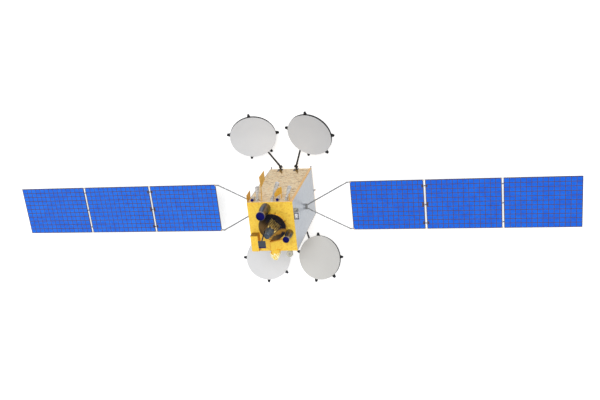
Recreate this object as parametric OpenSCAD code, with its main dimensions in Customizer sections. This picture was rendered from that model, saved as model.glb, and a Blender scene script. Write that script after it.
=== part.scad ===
// Geostationary communications satellite, deployed, standing on its launch adapter ring.
// Millimetres. The origin is the centre of the ring's lower face. +Z points from the ring to
// the earth deck, +X is north (along one wing) and +Y is east.

/* [Bus] */
// Width of the bus from radiator to radiator, along X
bus_width = 2090; // [1800:10:2600]
// Size of the bus from east wall to west wall, along Y
bus_height = 2360; // [2000:10:2900]
// Length of the bus from its lower deck to its earth deck, along Z
bus_length = 4430; // [3700:10:5400]
// Thickness of the honeycomb decks and walls
wall = 30; // [20:1:50]
// Radius of the four lifting holes in the earth deck
lifting_hole_r = 9; // [5:0.5:15]
// Distance of each lifting hole from the two nearest deck edges
lifting_hole_inset = 90; // [60:5:150]

/* [Launch adapter] */
// Outside diameter of the adapter ring's wall
ring_diameter = 1194; // [900:1:1500]
// Height of the adapter ring
ring_height = 250; // [220:5:400]
// Thickness of the adapter ring's wall
ring_wall = 12; // [6:1:25]
// How far the clamp flange at the foot of the ring stands out
ring_flange = 12; // [8:1:30]
// Height of the clamp flange
ring_flange_height = 18; // [10:1:40]

/* [Propulsion] */
// Radius of the apogee engine's nozzle exit
nozzle_exit_r = 150; // [100:5:170]
// Radius of the apogee engine's throat
throat_r = 28; // [20:1:45]
// Height of the nozzle exit above the foot of the ring
nozzle_exit_z = 45; // [20:5:90]
// Radius of the apogee engine's combustion chamber
chamber_r = 70; // [50:5:100]
// Radius of the central propellant tank block
tank_r = 555; // [400:5:590]
// Radius of a small thruster's nozzle exit
thruster_exit_r = 34; // [20:1:50]
// Length of a small thruster, from its mounting block to its nozzle exit
thruster_length = 150; // [100:5:170]
// Outward cant of the small thrusters, from straight down
thruster_cant = 40; // [20:1:55]

/* [Wing drives] */
// Height of the wing axis above the foot of the ring
wing_axis_z = 2300; // [2200:10:2600]
// Radius of the drive shaft that turns a wing
shaft_r = 50; // [35:1:70]
// Radial running clearance of a shaft or pin in its bore
running_clearance = 0.05; // [0.02:0.01:0.1]
// Radius of the fixed drive flange on the radiator
drive_flange_r = 140; // [120:5:200]
// Thickness of the fixed drive flange
drive_flange_t = 12; // [8:1:15]
// Radius of the turning hub plate
hub_r = 115; // [100:5:130]
// Gap between a part that turns and the fixed part beside it
turning_gap = 6; // [5:1:10]

/* [Yokes] */
// Distance of the yoke's fold pin from the radiator
yoke_pin_out = 75; // [72:1:110]
// Radius of a yoke tube
yoke_tube_r = 25; // [18:1:28]
// Half the distance between the two yoke tubes at the root
yoke_root_half = 70; // [60:5:90]
// Radius of the yoke's fold pin
yoke_pin_r = 12; // [8:1:16]
// Distance from the bus centre line to the inner edge of the first panel
wing_root_x = 3240; // [3100:10:3700]

/* [Solar panels] */
// Length of one solar panel along the wing
panel_length = 3360; // [2600:10:3500]
// Width of the solar panels across the wing
panel_chord = 2410; // [1900:10:2900]
// Thickness of a solar panel
panel_t = 25; // [18:1:30]
// Gap between two panels on an open wing
panel_gap = 80; // [70:2:100]
// Gap between the faces of two panels when the wing is folded
fold_gap = 25; // [20:1:32]
// Distance of a panel's corner hinges from its long edges
corner_hinge_inset = 45; // [40:5:250]
// Radius of a panel hinge pin
panel_pin_r = 8; // [5:0.5:9]
// Thickness of a hinge lug
lug_t = 10; // [6:1:14]

/* [Reflectors] */
// Diameter of the four side reflectors
reflector_diameter = 2200; // [1700:10:2500]
// Depth of a side reflector's curve
reflector_sag = 120; // [80:5:180]
// Thickness of a reflector's shell
shell_t = 22; // [15:1:35]
// Depth of the dark band around a reflector's rim
rim_depth = 130; // [60:5:150]
// Distance of the north-east reflector's centre from the bus centre line, along X
north_east_x = 1295; // [1150:5:1500]
// Distance of the south-east reflector's centre from the bus centre line, along X
south_east_x = 1435; // [1250:5:1500]
// Distance of the north-west reflector's centre from the bus centre line, along X
north_west_x = 1185; // [1150:5:1500]
// Distance of the south-west reflector's centre from the bus centre line, along X
south_west_x = 1420; // [1250:5:1500]
// Distance of the two east reflectors' centres from the bus centre line, along Y
east_y = 3120; // [3000:10:3600]
// Distance of the two west reflectors' centres from the bus centre line, along Y
west_y = 3225; // [3000:5:3600]
// Height of a reflector's centre above the foot of the ring
reflector_z = 1130; // [1000:10:1300]
// Tilt of a reflector towards the bus, about X
reflector_pitch = 16; // [10:0.5:22]
// Tilt of a reflector towards the bus centre line, about Y
reflector_roll = 13; // [6:0.5:18]

/* [Reflector booms] */
// Distance of the two north booms' hinges from the bus centre line, along X
north_hinge_x = 310; // [280:10:480]
// Distance of the two south booms' hinges from the bus centre line, along X
south_hinge_x = 480; // [360:10:520]
// How far inboard of its reflector's centre a north boom ends
north_boom_inset = 350; // [0:10:400]
// How far inboard of its reflector's centre a south boom ends
south_boom_inset = 0; // [0:10:400]
// Distance of a boom's hinge from the east or west wall
boom_hinge_out = 150; // [140:5:220]
// Height of a boom's hinge above the lower deck's underside
boom_hinge_up = 60; // [20:5:120]
// Radius of a boom tube
boom_r = 45; // [25:1:45]
// Distance of the boom's end behind a reflector's rim plane
boom_stand_off = 300; // [280:5:400]
// Radius of a boom's hinge pin
boom_pin_r = 20; // [12:1:25]

/* [Feeds and shields] */
// Length of the longest feed horn on the east wall
feed_length = 950; // [700:10:1000]
// Radius of a side feed horn at its mouth
feed_mouth_r = 95; // [60:5:100]
// Thickness of the gold shield plates
plate_t = 12; // [6:1:20]
// Height of the tall shield plate's top above the east wall
tall_plate_height = 1140; // [900:10:1300]

/* [Earth deck antennas] */
// Diameter of the earth deck's bowl reflector
bowl_diameter = 1250; // [1000:10:1280]
// Depth of the bowl
bowl_depth = 200; // [150:5:260]
// Height of the bowl's rim above the earth deck
bowl_rim_z = 320; // [300:5:400]
// Height of the square subreflector above the earth deck
subreflector_z = 2150; // [1800:10:2500]
// Side of the square subreflector
subreflector_side = 330; // [240:10:420]
// Height of the large deck horn
large_horn_height = 1020; // [850:10:1200]
// Radius of the large deck horn's mouth
large_horn_r = 200; // [160:5:215]
// Height of the small deck horn
small_horn_height = 800; // [600:10:900]
// Radius of the small deck horn's mouth
small_horn_r = 150; // [110:5:165]

/* [Hidden] */
$fn = 48;

NORTH = 1;
SOUTH = -1;
EAST = 1;
WEST = -1;

gold = [1, 0.78, 0.2];
beige = [0.88, 0.74, 0.58];
radiator_grey = [0.72, 0.74, 0.76];
black = [0.08, 0.08, 0.09];
dark_grey = [0.25, 0.26, 0.3];
tube_grey = [0.62, 0.62, 0.62];
cell_blue = [0.1, 0.38, 0.9];
reflector_grey = [0.84, 0.84, 0.83];
horn_grey = [0.55, 0.56, 0.6];

// Bus
deck_z = ring_height + bus_length;
half_x = bus_width / 2;
half_y = bus_height / 2;
inner_x = half_x - wall;
inner_y = half_y - wall;
wall_z0 = ring_height + wall;
wall_z1 = deck_z - wall;
lifting_x = half_x - lifting_hole_inset;
lifting_y = half_y - lifting_hole_inset;

// Launch adapter and engine
ring_r = ring_diameter / 2;
engine_hole_r = chamber_r + 60;
engine_head_z = ring_height + 310;
throat_z = ring_height + 130;

// Wing drive and fold pin
drive_hole_r = shaft_r + 20;
hub_x0 = half_x + drive_flange_t + turning_gap;
hub_plate_t = 20;
yoke_pin_x = half_x + yoke_pin_out;
yoke_sleeve_r = yoke_pin_r + 14;
hub_ear_t = 16;

// Panels
hinge_offset = (panel_t + fold_gap) / 2;
lug_r = panel_pin_r + 4;
lug_half_gap = 20;
lug_foot = 60;
lug_sink = 3;
lug_foot_rise = 4;
panel_pitch = panel_length + panel_gap;
corner_hinge_y = panel_chord / 2 - corner_hinge_inset;
edge_hinge_y = panel_chord * 0.38;
yoke_end_length = 100;

// The yoke's sleeve is as wide as its leaning tubes are at the sleeve's far side.
yoke_end_x = wing_root_x - panel_gap;
yoke_lean = atan2(corner_hinge_y - yoke_root_half, yoke_end_x - yoke_end_length / 2 - yoke_pin_x);
yoke_sleeve_half = yoke_root_half + yoke_sleeve_r * tan(yoke_lean) + yoke_tube_r / cos(yoke_lean) + 1;

// The four corners are counted north-east, south-east, north-west, south-west. Every corner is
// worked out as if it lay north-east.
reflector_r = reflector_diameter / 2;
reflector_normal = [-sin(reflector_roll) * cos(reflector_pitch), -sin(reflector_pitch),
                    cos(reflector_roll) * cos(reflector_pitch)];
inboard = [-cos(reflector_roll), 0, -sin(reflector_roll)];
hinge_y = half_y + boom_hinge_out;
hinge_z = ring_height + boom_hinge_up;
centres = [[north_east_x, east_y, reflector_z], [south_east_x, east_y, reflector_z],
           [north_west_x, west_y, reflector_z], [south_west_x, west_y, reflector_z]];
hinges = [[north_hinge_x, hinge_y, hinge_z], [south_hinge_x, hinge_y, hinge_z],
          [north_hinge_x, hinge_y, hinge_z], [south_hinge_x, hinge_y, hinge_z]];
insets = [north_boom_inset, south_boom_inset, north_boom_inset, south_boom_inset];
function corner(east_west, north_south) = (east_west < 0 ? 2 : 0) + (north_south < 0 ? 1 : 0);

// The boom's hinge axis turns the open reflector to its stowed place: centred on the bus, its
// front parallel to the wall.
stowed_normal = [0, -1, 0];
function stowed_arm(arm, x) = [-x, -arm * reflector_normal,
                               sqrt(arm * arm - pow(x, 2) - pow(arm * reflector_normal, 2))];
function hinge_cross(arm, x) = cross(reflector_normal - stowed_normal, stowed_arm(arm, x) - arm);
function hinge_axis(c) = hinge_cross(centres[c] - hinges[c], hinges[c][0])
    / norm(hinge_cross(centres[c] - hinges[c], hinges[c][0]));
boom_sleeve_half = boom_r + 14;
boom_sleeve_r = boom_pin_r + 28;
bracket_ear_t = 18;
reflector_hub_depth = 50;
reflector_back_z = -reflector_sag - shell_t - reflector_hub_depth;

// Height of the reflector's front face below its rim plane, at radius r
function dish_z(r) = reflector_sag * (pow(r / reflector_r, 2) - 1);

// Round bar from p to q
module bar(p, q, r) {
    d = q - p;
    translate(p) rotate([0, acos(d[2] / norm(d)), atan2(d[1], d[0])]) cylinder(h = norm(d), r = r);
}

// Box from corner p to corner q
module block(p, q) {
    translate(p) cube(q - p);
}

// Places a north-east shape at another corner
module at_corner(east_west, north_south) {
    mirror([north_south < 0 ? 1 : 0, 0, 0]) mirror([0, east_west < 0 ? 1 : 0, 0]) children();
}

// Places a north shape on another side
module on_side(north_south) {
    mirror([north_south < 0 ? 1 : 0, 0, 0]) children();
}

// ---- Bus ----

module earth_deck() {
    color(gold) difference() {
        block([-half_x, -half_y, wall_z1], [half_x, half_y, deck_z]);
        for (x = [-lifting_x, lifting_x], y = [-lifting_y, lifting_y])
            translate([x, y, wall_z1 - 1]) cylinder(h = wall + 2, r = lifting_hole_r);
    }
}

module anti_earth_deck() {
    color(beige) difference() {
        block([-half_x, -half_y, ring_height], [half_x, half_y, wall_z0]);
        translate([0, 0, ring_height - 1]) cylinder(h = wall + 2, r = engine_hole_r);
    }
}

module radiator(north_south) {
    color(radiator_grey) on_side(north_south) difference() {
        block([inner_x, -half_y, wall_z0], [half_x, half_y, wall_z1]);
        translate([inner_x - 1, 0, wing_axis_z]) rotate([0, 90, 0])
            cylinder(h = wall + 2, r = drive_hole_r);
    }
}

module side_wall(east_west) {
    color(beige) mirror([0, east_west < 0 ? 1 : 0, 0])
        block([-inner_x, inner_y, wall_z0], [inner_x, half_y, wall_z1]);
}

module tank_block() {
    color(tube_grey) difference() {
        translate([0, 0, wall_z0]) cylinder(h = wall_z1 - wall_z0, r = tank_r);
        translate([0, 0, wall_z0 - 1]) cylinder(h = engine_head_z - wall_z0 + 1, r = engine_hole_r);
    }
}

// ---- Launch adapter and propulsion ----

module launch_adapter_ring() {
    color(tube_grey) rotate_extrude()
        polygon([[ring_r - ring_wall, 0], [ring_r + ring_flange, 0],
                 [ring_r + ring_flange, ring_flange_height], [ring_r, ring_flange_height * 2],
                 [ring_r, ring_height], [ring_r - ring_wall * 3, ring_height],
                 [ring_r - ring_wall * 3, ring_height - ring_wall],
                 [ring_r - ring_wall, ring_height - ring_wall]]);
}

module apogee_engine() {
    bell = [for (k = [0:8]) [throat_r + (nozzle_exit_r - throat_r) * pow(k / 8, 0.7),
                             throat_z + (nozzle_exit_z - throat_z) * k / 8]];
    bell_t = 5;
    color(dark_grey) {
        rotate_extrude()
            polygon(concat(bell, [for (k = [8:-1:0]) bell[k] + [bell_t, 0]]));
        difference() {
            translate([0, 0, throat_z]) cylinder(h = engine_head_z - throat_z, r = chamber_r);
            translate([0, 0, throat_z - 1]) cylinder(h = 61, r1 = throat_r, r2 = throat_r + 20);
        }
    }
}

module thruster() {
    body_h = thruster_length * 0.45;
    nozzle_h = thruster_length - body_h;
    color(dark_grey) {
        translate([0, 0, -body_h]) cylinder(h = body_h, r = 18);
        rotate_extrude() polygon([[8, -body_h], [12, -body_h],
            [thruster_exit_r, -body_h - nozzle_h], [thruster_exit_r - 3, -body_h - nozzle_h]]);
    }
}

module thrusters() {
    pod = 80;
    pod_h = 50;
    inset = pod / 2 + 10;
    for (sx = [-1, 1], sy = [-1, 1])
        translate([sx * (half_x - inset), sy * (half_y - inset), ring_height]) {
            color(tube_grey) translate([-pod / 2, -pod / 2, -pod_h]) cube([pod, pod, pod_h]);
            translate([0, 0, -pod_h / 2]) rotate([sy * thruster_cant, 0, 0]) thruster();
        }
    for (sx = [-1, 1])
        translate([sx * (half_x - inset), 0, ring_height]) {
            color(tube_grey) translate([-pod / 2, -pod / 2, -pod_h]) cube([pod, pod, pod_h]);
            translate([0, 0, -pod_h / 2]) rotate([0, -sx * thruster_cant, 0]) thruster();
        }
}

module earth_sensor() {
    size = [215, 320, 235];
    window = 150;
    frame_depth = 40;
    electronics = [190, 150, 120];
    corner = [half_x, 330, deck_z - 15 - size[2]];
    color("white") {
        difference() {
            translate(corner) cube(size);
            translate(corner + [(size[0] - window) / 2, (size[1] - window) / 2, size[2] - frame_depth])
                cube([window, window, frame_depth + 1]);
        }
        translate(corner + [0, size[1], 0]) cube(electronics);
    }
}

// ---- Earth deck ----

bowl_x = 85;
bowl_y = 115;
bowl_r = bowl_diameter / 2;
bowl_shell = 14;
bowl_bottom_z = bowl_rim_z - bowl_depth;
bowl_foot_r = 250;
tower_foot_r = 380;
tower_head_r = 300;
tower_top_z = 800;
feed_foot_r = 190;
feed_head_r = 115;
feed_top_z = 1340;

function bowl_z(r) = bowl_bottom_z + bowl_depth * pow(r / bowl_r, 2);

bowl_seat_r = tower_foot_r + 5;
bowl_seat_z = bowl_z(bowl_seat_r);

// The bowl is flat under the feed tower's foot.
module deck_bowl() {
    steps = 9;
    radii = [for (k = [0:steps]) bowl_seat_r + (bowl_r - bowl_seat_r) * k / steps];
    front = [for (r = radii) [r, bowl_z(r)]];
    color(dark_grey) translate([bowl_x, bowl_y, deck_z])
        rotate_extrude() polygon(concat([[0, bowl_seat_z]], front,
            [[bowl_r, bowl_rim_z - bowl_shell * 2]],
            [for (k = [steps - 1:-1:0]) front[k] - [0, bowl_shell]],
            [[bowl_foot_r, bowl_seat_z - bowl_shell], [bowl_foot_r, 0], [0, 0]]));
}

// Four-sided tower, with a corner to the north, under the feed's cone
module deck_feed_tower() {
    color(gold) translate([bowl_x, bowl_y, deck_z]) {
        translate([0, 0, bowl_seat_z])
            cylinder(h = tower_top_z - bowl_seat_z, r1 = tower_foot_r, r2 = tower_head_r, $fn = 4);
        translate([0, 0, tower_top_z])
            cylinder(h = feed_top_z - tower_top_z, r1 = feed_foot_r, r2 = feed_head_r);
    }
}

// Square plate on a slanting arm that stands on the tower's south corner
module deck_subreflector() {
    arm_x = -(feed_foot_r + 45);
    arm_side = 50;
    arm_end = [-50, 0, subreflector_z];
    foot_side = 60;
    foot_h = 50;
    plate_h = 40;
    color(dark_grey) translate([bowl_x, bowl_y, deck_z]) {
        translate([arm_x - foot_side / 2, -foot_side / 2, tower_top_z])
            cube([foot_side, foot_side, foot_h]);
        hull() {
            translate([arm_x - arm_side / 2, -arm_side / 2, tower_top_z + foot_h / 2])
                cube([arm_side, arm_side, 1]);
            translate(arm_end - [arm_side / 2, arm_side / 2, 0])
                cube([arm_side, arm_side, plate_h / 2]);
        }
        translate([-subreflector_side / 2, -subreflector_side / 2, subreflector_z])
            cube([subreflector_side, subreflector_side, plate_h]);
    }
}

// Horn standing on the deck, wide at its foot, waisted and flared to its mouth
module deck_horn(height, mouth_r, foot_r) {
    neck_r = mouth_r * 0.72;
    lip = 14;
    rotate_extrude() polygon([[0, 0], [foot_r, 0], [foot_r, height * 0.34], [neck_r, height * 0.72],
        [mouth_r, height * 0.94], [mouth_r, height], [mouth_r - lip, height],
        [mouth_r - lip, height * 0.955], [0, height * 0.955]]);
}

module large_deck_horn() {
    color(dark_grey) translate([-190, half_y - 255, deck_z])
        deck_horn(large_horn_height, large_horn_r, large_horn_r + 30);
}

module small_deck_horn() {
    color(dark_grey) translate([half_x - 270, -290, deck_z])
        deck_horn(small_horn_height, small_horn_r, small_horn_r + 20);
}

module deck_foil_box() {
    color(gold) block([-half_x + 75, -half_y + 140, deck_z], [-half_x + 425, -half_y + 920, deck_z + 380]);
}

// Wedge on the deck, and a hood that hangs over the west wall
module west_foil_housing() {
    deck_part = 600;
    color(gold) {
        translate([0, -half_y + deck_part, deck_z]) rotate([90, 0, 0]) linear_extrude(deck_part - 130)
            polygon([[-110, 0], [440, 0], [280, 130], [-110, 330]]);
        block([-130, -half_y - 20, deck_z], [260, -half_y + 130, deck_z + 260]);
        translate([0, -half_y, deck_z - 150]) linear_extrude(410)
            polygon([[-190, -20], [-150, -220], [-30, -360], [110, -360], [230, -200], [270, -20]]);
    }
}

// ---- Side feeds and shields ----

// Feed horn from its foot on the wall towards the reflector, length long
module feed_horn(foot, aim, length) {
    d = aim / norm(aim);
    throat = 0.55;
    translate(foot) rotate([0, acos(d[2]), atan2(d[1], d[0])]) rotate_extrude()
        polygon([[0, 0], [feed_mouth_r * throat, 0], [feed_mouth_r * throat, length * 0.3],
                 [feed_mouth_r * 0.85, length * 0.6], [feed_mouth_r, length],
                 [feed_mouth_r - 6, length], [feed_mouth_r * 0.8, length * 0.62], [0, length * 0.62]]);
}

// Small earthward horn on a wall
module wall_horn(x) {
    color(dark_grey) translate([x, half_y, deck_z]) {
        translate([0, 110, -340]) cylinder(h = 330, r = 68);
        translate([-30, 0, -320]) cube([60, 110, 60]);
    }
}

// Foot block that carries a feed horn on the wall
module feed_foot(x, z, out) {
    block([x - 60, half_y, z - 60], [x + 60, half_y + out + 40, z + 60]);
}

module east_feed_horns() {
    spots = [[-590, -190, -0.18, 0.72], [110, -120, 0.1, 1], [740, -190, 0.08, 0.7]];
    color(horn_grey) for (s = spots) {
        out = 110;
        feed_horn([s[0], half_y + out, deck_z + s[1]], [s[2], 0.45, -0.86], feed_length * s[3]);
        feed_foot(s[0], deck_z + s[1], out);
    }
    wall_horn(-790);
    wall_horn(370);
}

module west_feed_horns() {
    spots = [[-640, -420, -0.22, 0.6], [640, -420, 0.22, 0.6]];
    color(horn_grey) mirror([0, 1, 0]) for (s = spots) {
        out = 110;
        feed_horn([s[0], half_y + out, deck_z + s[1]], [s[2], 0.34, -0.86], feed_length * s[3]);
        feed_foot(s[0], deck_z + s[1], out);
    }
}

// Plate that stands on the east wall, thin along X. Points are [distance from the wall, height
// above the earth deck].
module wall_plate(x, points) {
    translate([x, half_y, deck_z]) rotate([90, 0, 90]) linear_extrude(plate_t) polygon(points);
}

module east_shield_plates() {
    tall = tall_plate_height;
    leaf_turn = 58;
    color(gold) {
        wall_plate(-half_x + 10, [[0, -600], [350, -680], [330, -50], [40, -20], [0, -60]]);
        wall_plate(-380, [[0, -200], [tall - 540, -300], [tall - 420, -1000], [tall, -1030],
                          [tall, -150], [tall - 520, -200], [0, -80]]);
        translate([240, half_y, deck_z - 100]) rotate([0, leaf_turn, 0]) linear_extrude(plate_t)
            polygon([[0, 360], [20, 180], [475, 260], [470, 550], [200, 530]]);
        block([445, half_y, deck_z - 480], [480, half_y + 320, deck_z - 440]);
        wall_plate(900, [[0, -240], [340, -200], [340, -60], [0, -60]]);
    }
}

module west_patch_antenna() {
    color(tube_grey) {
        translate([620, -half_y - 240, deck_z - 200]) rotate([-20, 0, 0]) cylinder(h = 60, r = 150);
        block([590, -half_y - 200, deck_z - 240], [650, -half_y, deck_z - 180]);
    }
}

// ---- Wings ----

module wing_drive(north_south) {
    housing_r = shaft_r + 18;
    housing_length = 180;
    color(tube_grey) on_side(north_south) translate([0, 0, wing_axis_z]) rotate([0, 90, 0]) difference() {
        union() {
            translate([0, 0, half_x]) cylinder(h = drive_flange_t, r = drive_flange_r);
            translate([0, 0, half_x - housing_length]) cylinder(h = housing_length + 1, r = housing_r);
        }
        translate([0, 0, half_x - housing_length - 1])
            cylinder(h = housing_length + drive_flange_t + 2, r = shaft_r + running_clearance);
    }
}

module wing_hub(north_south) {
    shaft_length = 150;
    ear_y0 = yoke_sleeve_half + turning_gap;
    ear_r = yoke_sleeve_r;
    color(tube_grey) on_side(north_south) translate([0, 0, wing_axis_z]) {
        rotate([0, 90, 0]) {
            translate([0, 0, half_x - shaft_length])
                cylinder(h = hub_x0 - half_x + shaft_length + 1, r = shaft_r);
            translate([0, 0, hub_x0]) cylinder(h = hub_plate_t, r = hub_r);
        }
        for (s = [-1, 1]) {
            block([hub_x0, min(s * ear_y0, s * (ear_y0 + hub_ear_t)), -ear_r],
                  [yoke_pin_x, max(s * ear_y0, s * (ear_y0 + hub_ear_t)), ear_r]);
            translate([yoke_pin_x, s * (ear_y0 + hub_ear_t / 2), 0]) rotate([90, 0, 0])
                cylinder(h = hub_ear_t, r = ear_r, center = true);
        }
        block([hub_x0, -ear_y0 - hub_ear_t, -ear_r], [hub_x0 + hub_plate_t, ear_y0 + hub_ear_t, ear_r]);
        translate([yoke_pin_x, 0, 0]) rotate([90, 0, 0])
            cylinder(h = 2 * (ear_y0 + hub_ear_t) + 10, r = yoke_pin_r, center = true);
    }
}

// Outline of a hinge lug. The panel's edge is at x = 0 and the lug reaches out along +X.
module lug_plate(thickness) {
    rotate([90, 0, 0]) linear_extrude(thickness, center = true)
        polygon([[-lug_foot, panel_t / 2 - lug_sink], [-lug_foot, panel_t / 2 + lug_foot_rise],
                 [panel_gap / 2, hinge_offset + lug_r], [panel_gap / 2, hinge_offset - lug_r],
                 [0, panel_t / 2 - lug_sink]]);
}

// Pair of lugs with their pin, on an edge that faces +X. side is 1 for the cell side.
module pin_lugs(side) {
    lug_y = lug_half_gap + lug_t / 2;
    mirror([0, 0, side < 0 ? 1 : 0]) {
        for (s = [-1, 1]) translate([0, s * lug_y, 0]) {
            lug_plate(lug_t);
            translate([panel_gap / 2, 0, hinge_offset]) rotate([90, 0, 0])
                cylinder(h = lug_t, r = lug_r, center = true);
        }
        translate([panel_gap / 2, 0, hinge_offset]) rotate([90, 0, 0])
            cylinder(h = 2 * (lug_half_gap + lug_t) + 6, r = panel_pin_r, center = true);
    }
}

// Single lug that turns on the neighbour's pin, on an edge that faces -X
module bored_lug(side) {
    width = 2 * (lug_half_gap - turning_gap);
    mirror([1, 0, 0]) mirror([0, 0, side < 0 ? 1 : 0]) difference() {
        union() {
            lug_plate(width);
            translate([panel_gap / 2, 0, hinge_offset]) rotate([90, 0, 0])
                cylinder(h = width, r = lug_r, center = true);
        }
        translate([panel_gap / 2, 0, hinge_offset]) rotate([90, 0, 0])
            cylinder(h = width + 2, r = panel_pin_r + running_clearance, center = true);
    }
}

module yoke(north_south) {
    color(tube_grey) on_side(north_south) translate([0, 0, wing_axis_z]) difference() {
        union() {
            translate([yoke_pin_x, 0, 0]) rotate([90, 0, 0])
                cylinder(h = 2 * yoke_sleeve_half, r = yoke_sleeve_r, center = true);
            for (s = [-1, 1]) {
                bar([yoke_pin_x, s * yoke_root_half, 0],
                    [yoke_end_x - yoke_end_length / 2, s * corner_hinge_y, 0], yoke_tube_r);
                block([yoke_end_x - yoke_end_length, s * corner_hinge_y - lug_half_gap - lug_t,
                       -panel_t / 2],
                      [yoke_end_x, s * corner_hinge_y + lug_half_gap + lug_t, panel_t / 2]);
                translate([yoke_end_x, s * corner_hinge_y, 0]) pin_lugs(-1);
            }
        }
        translate([yoke_pin_x, 0, 0]) rotate([90, 0, 0])
            cylinder(h = 2 * yoke_sleeve_half + 2, r = yoke_pin_r + running_clearance, center = true);
    }
}

// Panel number index of a wing, counted from the bus. Its hinges stand on the cell side where
// inner_side or outer_side is 1 and on the back where it is -1.
module panel(north_south, index, inner_side, outer_side) {
    x0 = wing_root_x + index * panel_pitch;
    edge_stations = [-edge_hinge_y, 0, edge_hinge_y];
    inner_stations = index == 0 ? [-corner_hinge_y, corner_hinge_y] : edge_stations;
    outer_stations = outer_side == 0 ? [] : edge_stations;
    color(cell_blue) on_side(north_south) translate([x0, 0, wing_axis_z]) {
        translate([0, -panel_chord / 2, -panel_t / 2]) cube([panel_length, panel_chord, panel_t]);
        for (y = inner_stations) translate([0, y, 0]) bored_lug(inner_side);
        for (y = outer_stations) translate([panel_length, y, 0]) pin_lugs(outer_side);
    }
}

// ---- Reflectors on their booms ----

// Lays a shape's Z axis along direction d
module along(d) {
    rotate([0, acos(d[2] / norm(d)), atan2(d[1], d[0])]) children();
}

module bracket(east_west, north_south) {
    c = corner(east_west, north_south);
    hinge = hinges[c];
    ear_z = boom_sleeve_half + turning_gap;
    ear_r = boom_sleeve_r;
    foot = [240, 20, 330];
    foot_lift = 20;
    web_t = 20;
    web_y = -boom_sleeve_r - turning_gap;
    stem_r = 40;
    color(black) at_corner(east_west, north_south) {
        translate([hinge[0] - foot[0] / 2, half_y, ring_height + foot_lift]) cube(foot);
        translate(hinge) along(hinge_axis(c)) {
            for (s = [-1, 1]) {
                translate([0, 0, s * (ear_z + bracket_ear_t / 2)]) {
                    cylinder(h = bracket_ear_t, r = ear_r, center = true);
                    translate([-ear_r, web_y - web_t, -bracket_ear_t / 2])
                        cube([2 * ear_r, web_t - web_y, bracket_ear_t]);
                }
            }
            translate([-ear_r, web_y - web_t, -ear_z - bracket_ear_t])
                cube([2 * ear_r, web_t, 2 * (ear_z + bracket_ear_t)]);
            cylinder(h = 2 * (ear_z + bracket_ear_t) + 10, r = boom_pin_r, center = true);
        }
        bar(hinge + [0, web_y - web_t * 0.75, 0], [hinge[0], half_y + foot[1] / 2, hinge[2]], stem_r);
    }
}

// Tube from the hinge to the boom's end, and a strut from there to the flange behind the hub
module boom(east_west, north_south) {
    c = corner(east_west, north_south);
    end = centres[c] - boom_stand_off * reflector_normal + insets[c] * inboard;
    flange_t = 60;
    strut_clear = 5;
    strut_end = centres[c] + (reflector_back_z - boom_r - strut_clear) * reflector_normal;
    color(black) at_corner(east_west, north_south) {
        difference() {
            union() {
                translate(hinges[c]) along(hinge_axis(c))
                    cylinder(h = 2 * boom_sleeve_half, r = boom_sleeve_r, center = true);
                bar(hinges[c], end, boom_r);
            }
            translate(hinges[c]) along(hinge_axis(c))
                cylinder(h = 2 * boom_sleeve_half + 2, r = boom_pin_r + running_clearance, center = true);
        }
        translate(end) sphere(r = boom_r * 1.5);
        bar(end, strut_end, boom_r);
        translate(centres[c]) rotate([reflector_pitch, -reflector_roll, 0])
            translate([0, 0, reflector_back_z - flange_t]) cylinder(h = flange_t, r = 130);
    }
}

// Hold-down lug on a rim, narrowing outwards along +X
module rim_lug() {
    lug = [160, 160, 80];
    overlap = 10;
    rise = 20;
    translate([reflector_r - overlap, 0, rise - rim_depth]) linear_extrude(lug[2])
        polygon([[0, -lug[1] / 2], [lug[0], -lug[1] / 4], [lug[0], lug[1] / 4], [0, lug[1] / 2]]);
}

// Shell, rim band, stiffening ring and hub are one turned profile, flat at its middle.
module reflector(east_west, north_south) {
    steps = 12;
    rim_t = 20;
    ring_step = 6;
    ring_t = 24;
    ring_depth = 45;
    hub_r = 170;
    lug_angles = [94, 168, 260, 311, 5];
    lug_turn = [-5, 0, 2, 5][corner(east_west, north_south)];
    front = [for (k = [1:steps]) [reflector_r * k / steps, dish_z(reflector_r * k / steps)]];
    hub_top_z = dish_z(hub_r) - shell_t;
    ring_r0 = front[ring_step - 1][0];
    ring_z = dish_z(ring_r0) - shell_t;
    color(reflector_grey) at_corner(east_west, north_south)
    translate(centres[corner(east_west, north_south)]) rotate([reflector_pitch, -reflector_roll, 0]) {
        rotate_extrude() polygon(concat([[0, front[0][1]]], front,
            [[reflector_r, -rim_depth], [reflector_r - rim_t, -rim_depth],
             [reflector_r - rim_t, dish_z(reflector_r - rim_t) - shell_t]],
            [for (k = [steps - 1:-1:ring_step + 1]) front[k - 1] - [0, shell_t]],
            [[ring_r0 + ring_t, dish_z(ring_r0 + ring_t) - shell_t],
             [ring_r0 + ring_t, ring_z - ring_depth], [ring_r0, ring_z - ring_depth], [ring_r0, ring_z]],
            [for (k = [ring_step - 1:-1:2]) front[k - 1] - [0, shell_t]],
            [[hub_r, hub_top_z], [hub_r, reflector_back_z], [0, reflector_back_z]]));
        at_corner(east_west, north_south) for (a = lug_angles) rotate([0, 0, a + lug_turn]) rim_lug();
    }
}

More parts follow.
